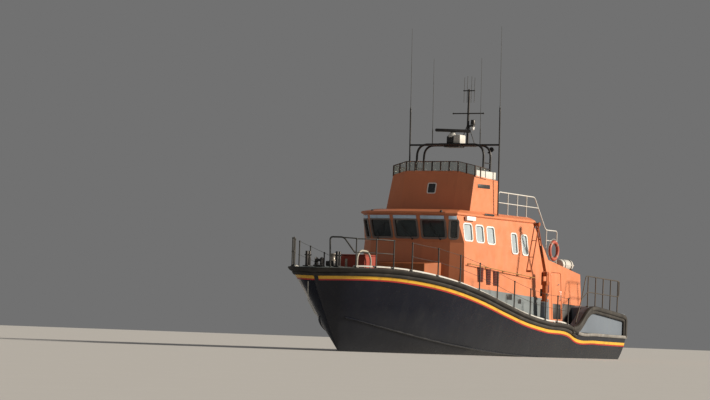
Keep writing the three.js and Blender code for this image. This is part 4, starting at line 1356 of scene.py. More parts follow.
    def fittings(self) -> None:
        """Builds louvres, small boxes and lamps on the sides and under the roof edge."""
        red, dark, white = Shape(), Shape(), Shape()
        for edges in self.louvres:
            self.louvre(red, dark, edges)
        for low, high in self.boxes:
            dark.box(low, high, 0.008)
        red.box(*self.red_box, 0.02)
        red.both_sides()
        dark.both_sides()
        for at in map(Vector, self.lamps):
            dark.drum(at, at + up(0.05), 0.05, 0.045, sides=16, bevel=0.01)
            dark.ball(at + up(0.05), 0.042, (1, 1, 0.7), 14)
        at = Vector(self.floodlight)
        white.box(at + Vector((-0.3, -0.045, -0.07)), at + Vector((0.3, 0.045, 0.07)), 0.02)
        dark.box(at + Vector((-0.2, -0.09, -0.03)), at + Vector((0.2, -0.04, 0.03)), 0.004)
        red.fit("house_louvres", LOUVRE_RED)
        dark.fit("house_black_fittings_and_vent_shade", BLACK)
        white.fit("roof_lamps", LAMP)

    def build(self) -> None:
        """Builds the wheelhouse."""
        softened("wheelhouse", "wheelhouse_walls", ORANGE, 0.016)
        softened("wheelhouse_roof", "wheelhouse_roof_moulding", ORANGE, 0.045, least=0.3)
        self.windows()
        self.visors()
        self.foot_band()
        self.handrails()
        self.fittings()


@dataclass
class AftHouse:
    """The lower house behind, its doors, upper rails and safety gear."""

    join: float = -3.53
    end: float = -6.08
    foot: float = 0.7
    roof_fore: float = 3.4
    roof_aft: float = 2.97
    # black panel of painted shade for the dark well behind the doors: x, then height, of its corners
    well_shade_panel: tuple[Pair, ...] = ((-4.57, 1.0), (-5.6, 1.0), (-5.6, 1.86), (-4.57, 1.9))
    # black plate of painted shade on the door's foot: x, then height, of its corners
    foot_shade_plate: tuple[Pair, ...] = ((-3.85, 1.34), (-4.45, 1.34), (-4.45, 1.86), (-3.85, 1.88))
    door: Pair = (-4.15, 2.12)
    door_size: Pair = (0.735, 1.695)
    door_radius: float = 0.1
    rim: tuple[Pair, ...] = ((0.0, -0.02), (0.0, 0.012), (0.03, 0.012), (0.03, -0.02))
    buoy: Spot = (-4.44, 1.67, 3.74)
    buoy_radius: float = 0.3
    buoy_thick: float = 0.062
    raft: Spot = (-5.62, 1.48, 0.23)
    raft_radius: float = 0.2
    raft_long: float = 0.86
    strap: tuple[Pair, ...] = (
        (0.002, -0.02), (0.007, -0.02), (0.007, 0.02), (0.002, 0.02), (0.002, -0.02))
    cradle: tuple[Pair, ...] = ((0.19, 0.01), (0.1, 0.01), (0.12, 0.09), (0.19, 0.15))
    rail_y: float = 1.56
    rail: tuple[Pair, ...] = (
        (-0.47, 4.8), (-0.47, 5.56), (-3.08, 5.53), (-3.95, 4.48), (-4.1, 4.44), (-4.85, 4.44))
    rail_posts: tuple[float, ...] = (-1.15, -1.83, -2.5)
    rail_foot: float = 4.8

    def roof(self, x: float) -> float:
        """Gives the roof height at a distance forward."""
        return self.roof_aft + (self.roof_fore - self.roof_aft) * (x - self.end) / (self.join - self.end)

    def wall(self, x: float, z: float, out: float = 0.0) -> Vector:
        """Gives a point of the port wall, moved out."""
        return Vector((x, 2.08 - 0.16 * (z - self.foot) / (self.roof(x) - self.foot) + out, z))

    def doors(self) -> None:
        """Builds the doors with their handles, black plates at their feet that paint in the dark shade of the
        well, and the rims of the doorways.
        """
        bodies = (Body.PORT_DOOR, Body.STARBOARD_DOOR)
        for side, body in zip(SIDES, bodies):
            softened(f"door_{side}", f"door_{side}_leaf", ORANGE, 0.008, body)
        x, z = self.door
        handle, plate, rim = Shape(), Shape(), Shape()
        for lift in (2.55, 1.75):
            y = self.wall(x, lift).y
            handle.drum((-4.32, y - 0.012, lift), (-4.32, y + 0.03, lift), 0.022, sides=14)
            handle.tube([(-4.32, y + 0.026, lift), (-4.2, y + 0.032, lift - 0.02)], 0.01, 8)
        y = self.wall(x, 2.15).y
        grip = [(-4.38, y + out, lift) for out, lift in ((-0.01, 2.33), (0.05, 2.32), (0.06, 2.0), (0.005, 1.98))]
        handle.tube(rounded(grip, 0.03), 0.01, 8)
        handle.fit_pair("door_{}_handles", BRIGHT, bodies=bodies)
        # black plate that paints the well's shade onto the door
        plate.plate([self.wall(*spot, -0.002) for spot in self.foot_shade_plate], (0, 0.008, 0), 0.002)
        plate.fit_pair("door_{}_foot_shade_plate", BLACK, bodies=bodies)
        rings = []
        for grow, out in self.rim:
            width, height = (length + 2 * grow for length in self.door_size)
            outline = rounded_rect(width, height, self.door_radius + grow)
            rings.append([self.wall(x + a, z + b, out) for a, b in outline])
        rim.collar(rings)
        rim.both_sides().fit("door_rims", ORANGE)

    def well_shade_panels(self) -> None:
        """Builds the black panel behind the doors, which paints in the dark shade of the side-deck well."""
        shape = Shape()
        shape.plate([self.wall(*spot, -0.004) for spot in self.well_shade_panel], (0, 0.012, 0), 0.003)
        shape.both_sides().fit("aft_house_well_shade_panel", BLACK)

    def buoys(self) -> None:
        """Builds the lifebuoys with four bands and a grab line."""
        middle, radius, thick = Vector(self.buoy), self.buoy_radius, self.buoy_thick
        ring, bands, line = Shape(), Shape(), Shape()
        profile = [(radius + thick * math.cos(t), thick * math.sin(t)) for t in (*circle(16), 0.0)]
        ring.wheel(profile, middle, (0, 1, 0), 48)
        for start in (math.pi / 4 + turn for turn in circle(4)):
            rings = []
            for turn in (start + 0.13 * (step / 2 - 1) for step in range(5)):
                hub = Vector((math.cos(turn), 0, math.sin(turn)))
                rings.append([middle + hub * (radius + (thick + 0.004) * math.cos(t))
                              + Vector((0, (thick + 0.004) * math.sin(t), 0)) for t in circle(16)])
            bands.loft(rings)
            slack = []
            for share in (step / 12 for step in range(13)):
                turn, bow = start + math.pi / 2 * share, 0.375 + 0.035 * math.sin(math.pi * share)
                slack.append(middle + Vector((bow * math.cos(turn), 0, bow * math.sin(turn))))
            line.tube(slack, 0.007, 8)
        ring.fit_pair("lifebuoy_{}_ring", BUOY, "lifebuoy_{}")
        bands.fit_pair("lifebuoy_{}_bands", BUOY_BAND)
        line.fit_pair("lifebuoy_{}_line", ROPE)

    def rafts(self) -> None:
        """Builds the liferaft canisters with ribs, a seam, straps and cradles."""
        x, y, lift = self.raft
        z, half, r = self.roof(x) + lift, self.raft_long / 2, self.raft_radius
        shell, strap = Shape(), Shape()
        end = [(0.0, half), (r * 0.6, half - 0.004), (r * 0.92, half - 0.04), (r, half - 0.1)]
        profile = [(radius, -at) for radius, at in end]
        for at in ((half - 0.1) * (k / 3 - 1) for k in range(1, 6)):
            profile += [(r, at - 0.03), (r - 0.008, at - 0.02), (r - 0.008, at + 0.02), (r, at + 0.03)]
        shell.wheel(profile + end[::-1], (x, y, z), (1, 0, 0), 40)
        shell.box((x - half + 0.02, y - r - 0.006, z - 0.012), (x + half - 0.02, y + r + 0.006, z + 0.012), 0.004)
        for at in (x - 0.24, x + 0.24):
            strap.wheel([(r + out, along) for out, along in self.strap], (at, y, z), (1, 0, 0), 40)
            foot = self.roof(at)
            strap.box((at - 0.03, y - 0.19, foot + 0.002), (at + 0.03, y + 0.19, foot + 0.03), 0.004)
            for s in (-1, 1):
                strap.plate([(at - 0.03, y + s * a, foot + b) for a, b in self.cradle], (0.06, 0, 0), 0.004)
        shell.fit_pair("liferaft_{}_canister", WHITE, "liferaft_{}")
        strap.fit_pair("liferaft_{}_straps", BLACK)

    def upper_rails(self) -> None:
        """Builds the white rails of the upper deck."""
        y, foot = self.rail_y, self.rail_foot
        near, far = ((x, y, self.roof(x)) for x in (-4.06, -4.85))
        shape = Shape()
        shape.tube(rounded([*((x, y, z) for x, z in self.rail), far], 0.11), 0.02)
        shape.tube([(-0.47, y, 5.2), (-3.37, y, 5.17)], 0.016)
        shape.tube([(-4.06, y, 4.44), near], 0.018)
        shape.tube([(-4.06, y, 4.08), (-4.85, y, 4.08)], 0.016)
        for x in self.rail_posts:
            shape.tube([(x, y, foot), (x, y, 5.55)], 0.018)
        for spot in (*((x, y, foot) for x in (-0.47, *self.rail_posts)), near, far):
            shape.drum(Vector(spot) - up(0.004), Vector(spot) + up(0.014), 0.05, sides=16)
        shape.fit_pair("upper_rail_{}_tubes", WHITE, "upper_rail_{}")

    def build(self) -> None:
        """Builds the aft house."""
        softened("aft_house", "aft_house_walls", ORANGE, 0.03)
        self.well_shade_panels()
        self.doors()
        self.buoys()
        self.rafts()
        self.upper_rails()


@dataclass
class Bridge:
    """The flying bridge with its windscreen."""

    edge: tuple[Spot, ...] = ((1.42, 0.0, 6.11), (1.42, 1.0, 6.11), (1.28, 1.58, 5.98), (-0.38, 1.58, 5.88))
    capping: tuple[Spot, ...] = ((1.39, 0.0, 6.11), (1.39, 1.0, 6.11), (1.25, 1.55, 5.98), (-0.38, 1.55, 5.88))
    screen_tall: float = 0.34
    screen_end: float = 0.45
    posts: tuple[tuple[int, float], ...] = (
        # stretch of the screen, then share of its length
        (0, 0.0), (0, 0.33), (0, 0.66), (1, 0.0), (1, 0.5), (2, 0.0), (2, 0.5),
    )
    vent: tuple[Pair, ...] = ((-0.42, -0.07), (0.42, -0.06), (0.42, 0.07), (-0.42, 0.06))
    white_panels: tuple[Pair, ...] = ((0.55, 1.15), (-0.2, 0.5))

    front: Panel = Panel.through((1.7, 0, 4.8), (1.7, 1, 4.8), (1.42, 0, 6.11))
    side: Panel = Panel.through((0, 1.62, 4.8), (-1, 1.62, 4.8), (0, 1.58, 5.9))

    def screen(self) -> None:
        """Builds the clear screen, its posts and its rims."""
        softened("bridge_windscreen", "bridge_screen_panes", PERSPEX, 0.003)
        shape = Shape()
        edge = [Vector(p) for p in self.edge]
        low = [p + Vector((-0.02, 0, -0.02)) for p in (*edge[:3], edge[2].lerp(edge[3], self.screen_end))]
        high = [p + up(self.screen_tall + 0.03) for p in low]
        for i, t in self.posts:
            shape.tube([low[i].lerp(low[i + 1], t), high[i].lerp(high[i + 1], t)], 0.026, 10)
        shape.tube(low, 0.014, 8)
        shape.tube(high, 0.012, 8)
        shape.both_sides().fit("bridge_screen_posts", POST_BROWN)

    def trim(self) -> None:
        """Builds the capping, the small front window, the side vents and the white panels."""
        capping, frame, pane, dark, white = (Shape() for _ in range(5))
        capping.tube(rounded(self.capping, 0.08), 0.04, 14)
        capping.both_sides().fit("bridge_capping", ORANGE)
        window = Opening(self.front, self.front.spot(1, 0.1, 5.55), (0.3, 0.34), 0.04)
        window.frame(frame, 0.02, 0.02)
        frame.fit("bridge_front_frame", FRAME_WHITE)
        pane.plate(window.ring(-0.01, 0.004), self.front.out * 0.006)
        pane.fit("bridge_front_pane", DARK_GLASS)
        a, b = self.side.spot(0, 0.64, 5.67)
        dark.plate([self.side.at(a + u, b + v, -0.004) for u, v in self.vent], self.side.out * 0.018, 0.005)
        dark.both_sides().fit("bridge_side_vents", BLACK)
        for aft, fore in self.white_panels:
            white.box((aft, 1.55, 5.95), (fore, 1.575, 6.19), 0.006)
        white.fit("bridge_white_panels", WHITE)

    def build(self) -> None:
        """Builds the bridge."""
        softened("flying_bridge", "flying_bridge_walls", ORANGE, 0.02)
        self.screen()
        self.trim()


@dataclass
class Arch:
    """The radar arch with its aerials, radar and mast."""

    half: float = 1.3
    top: float = 7.12
    floor: float = 4.95
    hoops: Pair = (0.2, -0.28)
    ties: tuple[float, ...] = (5.9, 6.3)
    rungs: tuple[float, ...] = (5.5, 5.7, 6.1, 6.5)
    platform: float = 0.0404
    horn: tuple[Pair, ...] = (
        (0.0, -0.085), (0.085, -0.085), (0.085, -0.07), (0.05, 0.0), (0.032, 0.07), (0.0, 0.085))
    whips: tuple[tuple[float, ...], ...] = (
        # y, height of the foot, of the end of the thick part, and of the tip, radius of the thick part
        (1.745, 4.7, 8.37, 11.11, 0.026), (-1.745, 4.7, 8.37, 11.11, 0.026),
        (1.0, 7.1, 7.62, 10.05, 0.016), (-0.86, 7.1, 7.62, 10.05, 0.016),
    )
    whip_x: float = -0.06
    whip_rake: float = 0.03
    radar: Pair = (-0.04, -0.06)
    radar_tall: float = 0.37
    reach: float = 0.61
    turned: float = math.radians(29.5)
    mast: Pair = (-0.75, 0.12)
    mast_top: float = 9.08
    yard_z: float = 8.25
    yard_half: float = 0.59
    dipoles: tuple[float, ...] = (-0.19, -0.07, 0.09, 0.21)

    def frame(self) -> None:
        """Builds the two hoops with their ties, crossbar, platform and horn, and the whips."""
        shape, half, top = Shape(), self.half, self.top
        for x in self.hoops:
            path = [(x, -half, self.floor), (x, -half, top), (x, half, top), (x, half, self.floor)]
            shape.tube(rounded(path, 0.42, 10), 0.038, 16)
            for foot in (path[0], path[-1]):
                shape.drum(foot, Vector(foot) + up(0.02), 0.08, sides=16)
        for y, z in ((s * half, z) for s in (-1, 1) for z in self.ties):
            shape.tube([(x, y, z) for x in self.hoops], 0.024)
        for z in self.rungs:
            shape.tube([(x, half, z) for x in self.hoops], 0.018, 8)
        span = self.whips[0][0]
        shape.tube([(self.whip_x, -span, top), (self.whip_x, span, top)], 0.032, 14)
        for y in (-0.8, 0.8):
            shape.box((-0.28, y - 0.03, top - 0.02), (0.2, y + 0.03, top + 0.02))
        shape.box((-0.86, -0.42, top - 0.01), (0.26, 0.42, top + 0.04), 0.01)
        shape.box((-0.24, -0.3, top - 0.09), (0.16, 0.3, top), 0.02)
        shape.wheel(self.horn, (-0.41, 1.3, 6.98), (-1, 0, 0), 24)
        shape.tube([(-0.28, 1.2, 6.86), (-0.4, 1.3, 6.98)], 0.03)
        for whip in self.whips:
            self.whip(shape, *whip)
        shape.fit("radar_arch_tubes", BLACK, node="radar_arch")

    def whip(self, shape: Shape, y: float, foot: float, neck: float, tip: float, thick: float) -> None:
        """Adds a whip aerial that leans forward a little.

        Args:
            shape: Shape of the arch.
            y: Place across the boat.
            foot: Height of its foot.
            neck: Height of the thick part's end.
            tip: Height of its tip.
            thick: Radius of the thick part.
        """
        spots = [Vector((self.whip_x + (z - self.top) * self.whip_rake, y, z))
                 for z in (foot, neck, neck - 0.12, neck + 0.06, neck - 0.02, (neck + tip) / 2, tip)]
        shape.tube(spots[:2], thick)
        shape.drum(*spots[2:4], thick * 1.25, 0.012, sides=14)
        shape.tube(spots[4:], [0.01, 0.008, 0.005], 8)

    def radar_set(self) -> None:
        """Builds the pedestal and the turning scanner."""
        x, y = self.radar
        low = self.top + self.platform
        high = low + self.radar_tall
        dark, white, bar = Shape(), Shape(), Shape()
        dark.box((x - 0.17, y - 0.15, low), (x + 0.17, y + 0.13, high - 0.12), 0.03)
        white.box((x - 0.2, y + 0.13, low), (x + 0.2, y + 0.4, high - 0.07), 0.04)
        white.drum((x, y, high - 0.16), (x, y, high - 0.06), 0.19, 0.15, sides=28, bevel=0.02)
        white.drum((x, y, high - 0.07), (x, y, high), 0.12, 0.1, sides=24, bevel=0.008)
        dark.fit("radar_pedestal_box", BLACK)
        white.fit("radar_pedestal_cover", WHITE, node="radar_pedestal")
        section = rounded_rect(2 * self.reach, 0.1, 0.045)
        bar.plate([(-0.08, a, 0.07 + b) for a, b in section], (0.16, 0, 0), 0.012)
        bar.drum((0, 0, 0), (0, 0, 0.03), 0.08, sides=20)
        turn = Matrix.Translation((x, y, high + 0.006)) @ Matrix.Rotation(self.turned, 4, "Z")
        bmesh.ops.transform(bar.bm, matrix=turn, verts=list(bar.bm.verts))
        bar.fit("radar_scanner_bar", BLACK, Body.SCANNER, "radar_scanner")

    def mast_set(self) -> None:
        """Builds the pole with its yards, dipoles and camera."""
        (x, y), top, yard = self.mast, self.mast_top, self.yard_z
        foot, side = self.top + self.platform, self.mast[1] + 0.19
        shape, white = Shape(), Shape()
        shape.tube([(x, y, foot), (x, y, yard + 0.2), (x, y, top)], [0.046, 0.04, 0.032], 16)
        shape.drum((x, y, foot), (x, y, foot + 0.02), 0.1, sides=20)
        for s in (-1, 1):
            shape.tube([(x, y + s * 0.3, foot), (x, y, foot + 0.75)], 0.014, 8)
            shape.ball((x, y + s * self.yard_half, yard), 0.03, sides=12)
        for half, z, radius in ((self.yard_half, yard, 0.02), (0.225, top - 0.05, 0.018)):
            shape.tube([(x, y - half, z), (x, y + half, z)], radius)
        for d in self.dipoles:
            shape.tube([(x, y + d, top - 0.46), (x, y + d, top + 0.48 - abs(d) * 0.4)], 0.008, 8)
        shape.box((x - 0.05, y + 0.03, 7.79), (x + 0.05, y + 0.24, 7.85), 0.006)
        shape.drum((x, side, 7.86), (x, side, 8.03), 0.085, 0.07, sides=20, bevel=0.015)
        white.drum((x, side, 7.74), (x, side, 7.79), 0.05, 0.075, sides=20)
        white.ball((x, side, 7.73), 0.06, sides=16)
        shape.fit("mast_pole", BLACK, node="mast")
        white.fit("mast_camera_dome", LAMP)

    def build(self) -> None:
        """Builds the arch."""
        self.frame()
        self.radar_set()
        self.mast_set()


@dataclass
class Crane:
    """The knuckle crane on the port side deck."""

    x: float = -2.62
    y: float = 2.33
    heel: float = 2.86
    peak: Pair = (-1.87, 4.54)
    tip: Pair = (-1.4, 2.92)
    cheek: tuple[Pair, ...] = (
        (-0.09, -0.36), (0.09, -0.36), (0.09, 0.04), (0.04, 0.09), (-0.04, 0.09), (-0.09, 0.04))

    def base(self) -> None:
        """Builds the pedestal with its gussets."""
        foot = Vector((self.x, self.y, LINES.deck(self.x, self.y)))
        shape = Shape()
        shape.drum(foot, foot + up(0.02), 0.2, sides=28)
        shape.drum(foot + up(0.01), (self.x, self.y, 1.9), 0.13, sides=28, bevel=0.01)
        for turn in circle(4):
            out = Vector((math.cos(turn + math.pi / 4), math.sin(turn + math.pi / 4), 0))
            side = Vector((-out.y, out.x, 0)) * 0.008
            low = foot + up(0.015) - side
            shape.plate([low + out * 0.12, low + out * 0.19, low + out * 0.12 + up(0.2)], side * 2)
        shape.fit("crane_pedestal", QUARTER, node="crane_base")

    def post(self) -> None:
        """Builds the turning post with its cheeks and motor."""
        x, y, heel = self.x, self.y, self.heel
        shape, motor = Shape(), Shape()
        shape.drum((x, y, 1.912), (x, y, 1.97), 0.13, sides=28, bevel=0.01)
        shape.drum((x, y, 1.95), (x, y, 2.59), 0.095, sides=24)
        shape.box((x - 0.09, y - 0.11, 2.48), (x + 0.09, y + 0.11, 2.62), 0.012)
        for s in (-1, 1):
            shape.plate([(x + a, y + s * 0.085, heel + b) for a, b in self.cheek], (0, s * 0.022, 0), 0.004)
            shape.drum((x, y + s * 0.06, heel), (x, y + s * 0.12, heel), 0.035, sides=16)
        shape.fit("crane_post_weldment", GEAR_ORANGE, Body.POST, "crane_post")
        motor.drum((x - 0.17, y, 2.15), (x - 0.08, y, 2.15), 0.07, sides=20, bevel=0.01)
        motor.box((x - 0.07, y - 0.15, 2.1), (x + 0.07, y - 0.08, 2.35), 0.01)
        motor.fit("crane_motor", BLACK, Body.POST)

    def boom(self) -> None:
        """Builds the boom's two spars with their ram, ties and end bosses."""
        low, high = Vector((self.x, self.y, self.heel)), Vector((self.peak[0], self.y, self.peak[1]))
        shape, dark = Shape(), Shape()
        aside, middle = Vector((0, 0.036, 0)), low.lerp(high, 0.55)
        for s in (-1, 1):
            shape.tube([low + aside * s, high + aside * s], 0.022, 16)
        shape.drum(low.lerp(high, 0.06), low.lerp(high, 0.34), 0.034, sides=18)
        dark.drum(low.lerp(high, 0.3), middle, 0.019, sides=14)
        dark.drum(middle - aside, middle + aside, 0.038, sides=18, bevel=0.004)
        for point, radius in ((low, 0.075), (high, 0.052)):
            shape.drum(point - aside * 1.6, point + aside * 1.6, radius, sides=24, bevel=0.006)
        for at in (low.lerp(high, t) for t in (0.16, 0.7, 0.92)):
            shape.box(at - Vector((0.012, 0.056, 0.02)), at + Vector((0.012, 0.056, 0.02)))
        shape.fit("crane_boom_spars", GEAR_ORANGE, Body.BOOM, "crane_boom")
        dark.fit("crane_boom_ram", BLACK, Body.BOOM)

    def jib(self) -> None:
        """Builds the jib's two arms, its pins and its ties."""
        shape, dark = Shape(), Shape()
        peak, tip = (Vector((x, self.y, z)) for x, z in (self.peak, self.tip))
        aside, pin, boss = (Vector((0, half, 0)) for half in (0.085, 0.09, 0.02))
        for side in (-aside, aside):
            shape.drum(peak + side - boss, peak + side + boss, 0.07, sides=24, bevel=0.005)
            shape.tube([peak + side, tip + side], 0.02, 14)
        shape.drum(tip - pin, tip + pin, 0.036, sides=20, bevel=0.005)
        for at in (peak.lerp(tip, t) for t in (0.35, 0.7)):
            dark.tube([at - aside, at + aside], 0.012, 10)
        shape.fit("crane_jib_arms", GEAR_ORANGE, Body.JIB, "crane_jib")
        dark.fit("crane_jib_ties", BLACK, Body.JIB)

    def build(self) -> None:
        """Builds the crane."""
        self.base()
        self.post()
        self.boom()
        self.jib()


@dataclass
class Foredeck:
    """Gear ahead of the wheelhouse."""

    hoop_y: float = 0.62
    hoop_bend: tuple[Pair, ...] = ((7.05, 3.05), (6.85, 3.24), (6.4, 3.22), (6.2, 3.0))
    hoop_feet: Pair = (7.05, 6.22)
    roller: tuple[Pair, ...] = (
        (0.0, -0.088), (0.07, -0.088), (0.05, -0.05), (0.042, 0.0), (0.05, 0.05), (0.07, 0.088), (0.0, 0.088))
    cheek: tuple[Pair, ...] = ((8.42, 2.93), (8.34, 2.96), (8.24, 2.93))
    bollard_y: float = 0.56
    bollard_x: Pair = (8.17, 8.03)
    drum: tuple[Pair, ...] = (
        (0.0, 2.85), (0.12, 2.85), (0.12, 2.88), (0.08, 2.92), (0.07, 2.99), (0.09, 3.05), (0.12, 3.08),
        (0.12, 3.1), (0.0, 3.1),
    )

    def chest(self) -> None:
        """Builds the locker with its lid, strap and pale hoop, and the trunk."""
        # the locker and its lid take the darkened orange, painted shade
        softened("foredeck_locker", "locker_box", LOCKER_SHADED_ORANGE, 0.015)
        softened("locker_lid", "locker_lid_board", LOCKER_SHADED_ORANGE, 0.012, Body.LID)
        # the trunk takes the darkened orange, painted shade
        softened("fore_trunk", "fore_trunk_moulding", TRUNK_SHADED_ORANGE, 0.03)
        shape, strap, y = Shape(), Shape(), self.hoop_y
        start, end = (Vector((x, y, LINES.deck(x, y) - 0.01)) for x in self.hoop_feet)
        shape.tube(rounded([start, *((x, y, z) for x, z in self.hoop_bend), end], 0.16), 0.032, 16)
        for foot in (start, end):
            shape.drum(foot, foot + up(0.03), 0.06, sides=16, bevel=0.006)
        shape.fit("locker_hoop", CREAM)
        strap.box((6.345, -0.25, 2.7), (6.358, -0.17, 2.98), 0.003)
        strap.fit("locker_strap", CREAM)

    def stem(self) -> None:
        """Builds the fairlead with its roller and the bollards."""
        fair, posts = Shape(), Shape()
        deck = LINES.deck(8.3, 0)
        fair.box((8.18, -0.13, deck), (8.48, 0.13, deck + 0.05), 0.01)
        for s in (-1, 1):
            corners = ((8.2, deck), (8.44, deck), *self.cheek)
            fair.plate([(x, s * 0.09, z) for x, z in corners], (0, s * 0.02, 0), 0.005)
        fair.wheel(self.roller, (8.32, 0, 2.86), (0, 1, 0), 28)
        fair.fit("stem_fairlead_rollers", BLACK, node="stem_fairlead")
        y = self.bollard_y
        deck = LINES.deck(8.1, y)
        posts.box((7.96, y - 0.11, deck), (8.24, y + 0.11, deck + 0.03), 0.008)
        for x in self.bollard_x:
            posts.drum((x, y, deck + 0.02), (x, y, 3.15), 0.05, sides=24, bevel=0.008)
            posts.drum((x, y - 0.085, 3.03), (x, y + 0.085, 3.03), 0.016, sides=12)
        posts.fit_pair("bollards_{}_posts", BLACK, "bollards_{}")

    def winch(self) -> None:
        """Builds the anchor winch."""
        shape, steel = Shape(), Shape()
        shape.box((7.33, -0.16, LINES.deck(7.5, 0)), (7.7, 0.16, 2.86), 0.03)
        steel.wheel(self.drum, (7.515, 0, 0), (0, 0, 1), 32)
        shape.fit("anchor_winch_gearbox", BLACK, node="anchor_winch")
        steel.fit("anchor_winch_drum", STEEL)

    def build(self) -> None:
        """Builds the foredeck gear."""
        self.chest()
        self.stem()
        self.winch()


@dataclass
class SternGear:
    """Shafts, struts, propellers and rudders."""

    y: float = 1.0
    z: float = -1.18
    prop_x: float = -6.9
    rudder_x: float = -7.64
    rudder_fore: float = -7.44
    blades: int = 5
    hub: tuple[Pair, ...] = (
        (0.0, -0.2), (0.03, -0.19), (0.06, -0.14), (0.075, -0.08), (0.085, 0.0), (0.085, 0.1), (0.08, 0.115),
        (0.0, 0.115),
    )
    blade_radii: tuple[float, ...] = (0.06, 0.12, 0.2, 0.28, 0.35, 0.41, 0.445, 0.459)
    barrel: tuple[Pair, ...] = (
        (0.0, -0.11), (0.055, -0.11), (0.07, -0.08), (0.075, 0.0), (0.07, 0.08), (0.055, 0.11), (0.0, 0.11))
    foil: tuple[Pair, ...] = (
        # height, then size of the section
        (-0.645, 0.94), (-0.665, 1.0), (-1.2, 0.97), (-1.66, 0.92), (-1.695, 0.86),
    )

    def blade_ring(self, r: float, turn: float, hub: Vector, side: int) -> list[Vector]:
        """Gives one section of a propeller blade.

        Args:
            r: Radius of the section.
            turn: Angle of the blade round the shaft.
            hub: Middle of the propeller.
            side: 1 for port and -1 for starboard, which turns the other way.

        Returns:
            The section's points.
        """
        share = (r - 0.07) / 0.39
        chord = 0.075 + 0.1 * math.sin(math.pi * min(1.0, 0.15 + 0.85 * share)) - 0.02 * share
        pitch, rake, skew = 1.05 - 0.6 * share, 0.03 * share, 0.35 * share * share
        ring = []
        for t in circle(12):
            c, n = chord * math.cos(t), (0.012 - 0.009 * share) * math.sin(t)
            ahead = c * math.sin(pitch) + n * math.cos(pitch) + rake
            across = c * math.cos(pitch) - n * math.sin(pitch)
            angle = turn + side * (across / r + skew)
            ring.append(hub + Vector((ahead, r * math.cos(angle), r * math.sin(angle))))
        return ring

    def propeller(self, side: str, s: int, body: Body) -> None:
        """Builds a propeller with its cap.

        Args:
            side: Name of the side.
            s: 1 for port and -1 for starboard.
            body: Body that it rides on.
        """
        hub = Vector((self.prop_x, s * self.y, self.z))
        shape = Shape()
        shape.wheel(self.hub, hub, (1, 0, 0), 32)
        for turn in circle(self.blades):
            rings = [self.blade_ring(r, turn, hub, s) for r in self.blade_radii]
            middle = sum(rings[-1], Vector((0, 0, 0))) / len(rings[-1])
            rings[-1] = [middle + (p - middle) * 0.45 for p in rings[-1]]
            shape.loft(rings)
        shape.fit(f"propeller_{side}_blades", BRONZE, body, f"propeller_{side}")

    def shafts(self) -> None:
        """Builds the shafts, their logs and their struts."""
        shape, steel = Shape(), Shape()
        start, end = Vector((-4.3, self.y, -0.7)), Vector((self.prop_x + 0.125, self.y, self.z))
        steel.tube([start, end], 0.042, 18)
        shape.drum(start + Vector((0.2, 0, 0.05)), start.lerp(end, 0.16), 0.085, 0.07, sides=20)
        barrel = Vector((self.prop_x + 0.26, self.y, self.z + 0.02))
        shape.wheel(self.barrel, barrel, (1, 0, 0), 28)
        for lean in (-0.16, 0.16):
            ends = barrel + Vector((0, lean * 0.3, 0.04)), Vector((barrel.x, self.y + lean * 1.6, -0.42))
            section = [Vector((0.07 * math.cos(t), 0.018 * math.sin(t), 0)) for t in circle(14)]
            shape.loft([[end + p for p in section] for end in ends])
        steel.fit_pair("shaft_{}_rod", STEEL, "shaft_{}")
        shape.fit_pair("shaft_{}_strut", NAVY_PLAIN)

    def rudder(self, side: str, y: float, body: Body) -> None:
        """Builds a rudder with a foil section and its stock.

        Args:
            side: Name of the side.
            y: Its place across the boat.
            body: Body that it rides on.
        """
        shape = Shape()
        rings = []
        for z, scale in self.foil:
            ring = []
            for t in circle(24):
                x = 0.5 - 0.5 * math.cos(t)
                thick = 0.09 * (1.48 * math.sqrt(x) - 0.63 * x - 1.76 * x ** 2 + 1.42 * x ** 3 - 0.51 * x ** 4)
                half = math.copysign(max(thick, 0.004), math.sin(t))
                ring.append((self.rudder_fore - 0.63 * x * scale, y + half * scale, z))
            rings.append(ring)
        shape.loft(rings)
        shape.drum((self.rudder_x, y, -0.68), (self.rudder_x, y, -0.505), 0.044, sides=20)
        shape.fit(f"rudder_{side}_foil", NAVY_PLAIN, body, f"rudder_{side}")

    def build(self) -> None:
        """Builds both sides."""
        self.shafts()
        self.propeller("port", 1, Body.PORT_PROPELLER)
        self.propeller("starboard", -1, Body.STARBOARD_PROPELLER)
        self.rudder("port", self.y, Body.PORT_RUDDER)
        self.rudder("starboard", -self.y, Body.STARBOARD_RUDDER)


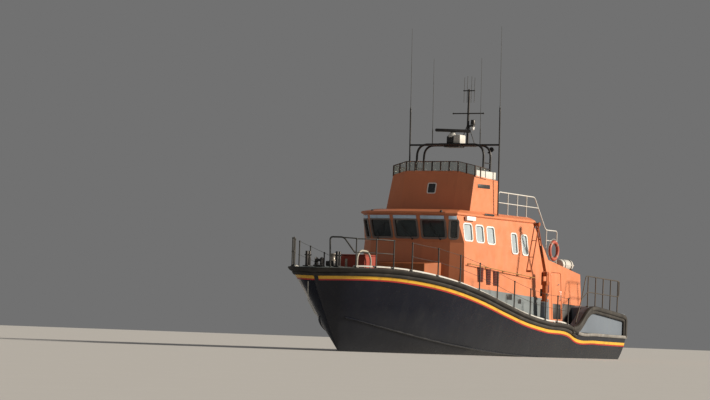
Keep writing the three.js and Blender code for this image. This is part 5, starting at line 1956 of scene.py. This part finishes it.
@dataclass
class Studio:
    """Camera at the photograph's viewing angle, pale floor and soft light."""

    distance: float = 100.0
    turn: float = math.radians(29.52)
    roll: float = math.radians(2.04)
    height: float = 0.5
    lens: float = 149.1
    sensor: float = 36.0
    frame: tuple[int, int] = (710, 400)
    middle_x: float = 446.5
    horizon_y: float = 339.4
    floor_half: float = 600.0
    lamps: tuple[tuple[str, Spot, float, float], ...] = (
        # name, direction it shines from, strength, angle that it fills
        ("key", (-0.42, 0.87, 0.33), 6.6, 0.2), ("fill", (0.6, 0.5, 0.8), 0.1, 0.8),
    )
    lamp_color: Color = (1.0, 0.89, 0.74)
    sky: float = 0.165

    def camera(self) -> None:
        """Places the camera just above the floor, rolled as the bow lifts, and shifts its frame."""
        away = Vector((math.cos(self.turn), math.sin(self.turn), 0))
        look = (-away).to_track_quat("-Z", "Y").to_matrix().to_4x4()
        data = bpy.data.cameras.new("photo_camera")
        data.lens, data.sensor_width = self.lens, self.sensor
        data.clip_start, data.clip_end = 1.0, 2000.0
        data.shift_x = (self.frame[0] / 2 - self.middle_x) / self.frame[0]
        data.shift_y = (self.horizon_y - self.frame[1] / 2) / self.frame[0]
        camera = bpy.data.objects.new("photo_camera", data)
        camera.matrix_world = (Matrix.Translation(away * self.distance + up(self.height)) @ look
                               @ Matrix.Rotation(self.roll, 4, "Z"))
        bpy.context.scene.collection.objects.link(camera)
        bpy.context.scene.camera = camera

    def floor(self) -> None:
        """Lays a pale floor at the waterline."""
        bm = bmesh.new()
        bmesh.ops.create_grid(bm, x_segments=1, y_segments=1, size=self.floor_half)
        mesh = bpy.data.meshes.new("floor")
        bm.to_mesh(mesh)
        bm.free()
        floor = bpy.data.objects.new("floor", mesh)
        bpy.context.scene.collection.objects.link(floor)
        mesh.materials.append(FLOOR.material())

    def lights(self) -> None:
        """Sets a soft key from the port quarter, a weak fill from ahead and a pale sky."""
        for name, direction, power, soft in self.lamps:
            data = bpy.data.lights.new(name, "SUN")
            data.energy, data.angle, data.color = power, soft, self.lamp_color
            lamp = bpy.data.objects.new(name, data)
            lamp.rotation_mode = "QUATERNION"
            lamp.rotation_quaternion = Vector(direction).to_track_quat("Z", "Y")
            bpy.context.scene.collection.objects.link(lamp)
        world = bpy.data.worlds.new("studio")
        world.use_nodes = True
        sky = world.node_tree.nodes["Background"]
        sky.inputs["Color"].default_value = (1.0, 1.0, 1.0, 1)
        sky.inputs["Strength"].default_value = self.sky
        bpy.context.scene.world = world
        bpy.context.scene.view_settings.view_transform = "Standard"

    def build(self) -> None:
        """Builds the studio."""
        self.camera()
        self.floor()
        self.lights()


def dress_rest(frame: dict) -> None:
    """Gives each CAD node that still shows the finish of its material slot.

    Args:
        frame: The loaded frame.
    """
    slots = {row["node"]: row["material_slot"] for row in frame["record"]["subparts"]}
    for node, piece in frame["nodes"].items():
        piece.data.materials.clear()
        piece.data.materials.append(SLOT_FINISHES[slots[node]].material())


def main() -> None:
    """Builds the studio and the boat."""
    logging.basicConfig(level=logging.INFO, format="%(name)s: %(message)s")
    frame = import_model()
    Studio().build()
    dress_rest(frame)
    for part in (Hull(), Decks(), GuardRails(), Wheelhouse(), AftHouse(), Bridge(), Arch(), Crane(), Foredeck(),
                 SternGear()):
        part.build()
        LOG.info("built %s", type(part).__name__)


if __name__ == "__main__":
    main()
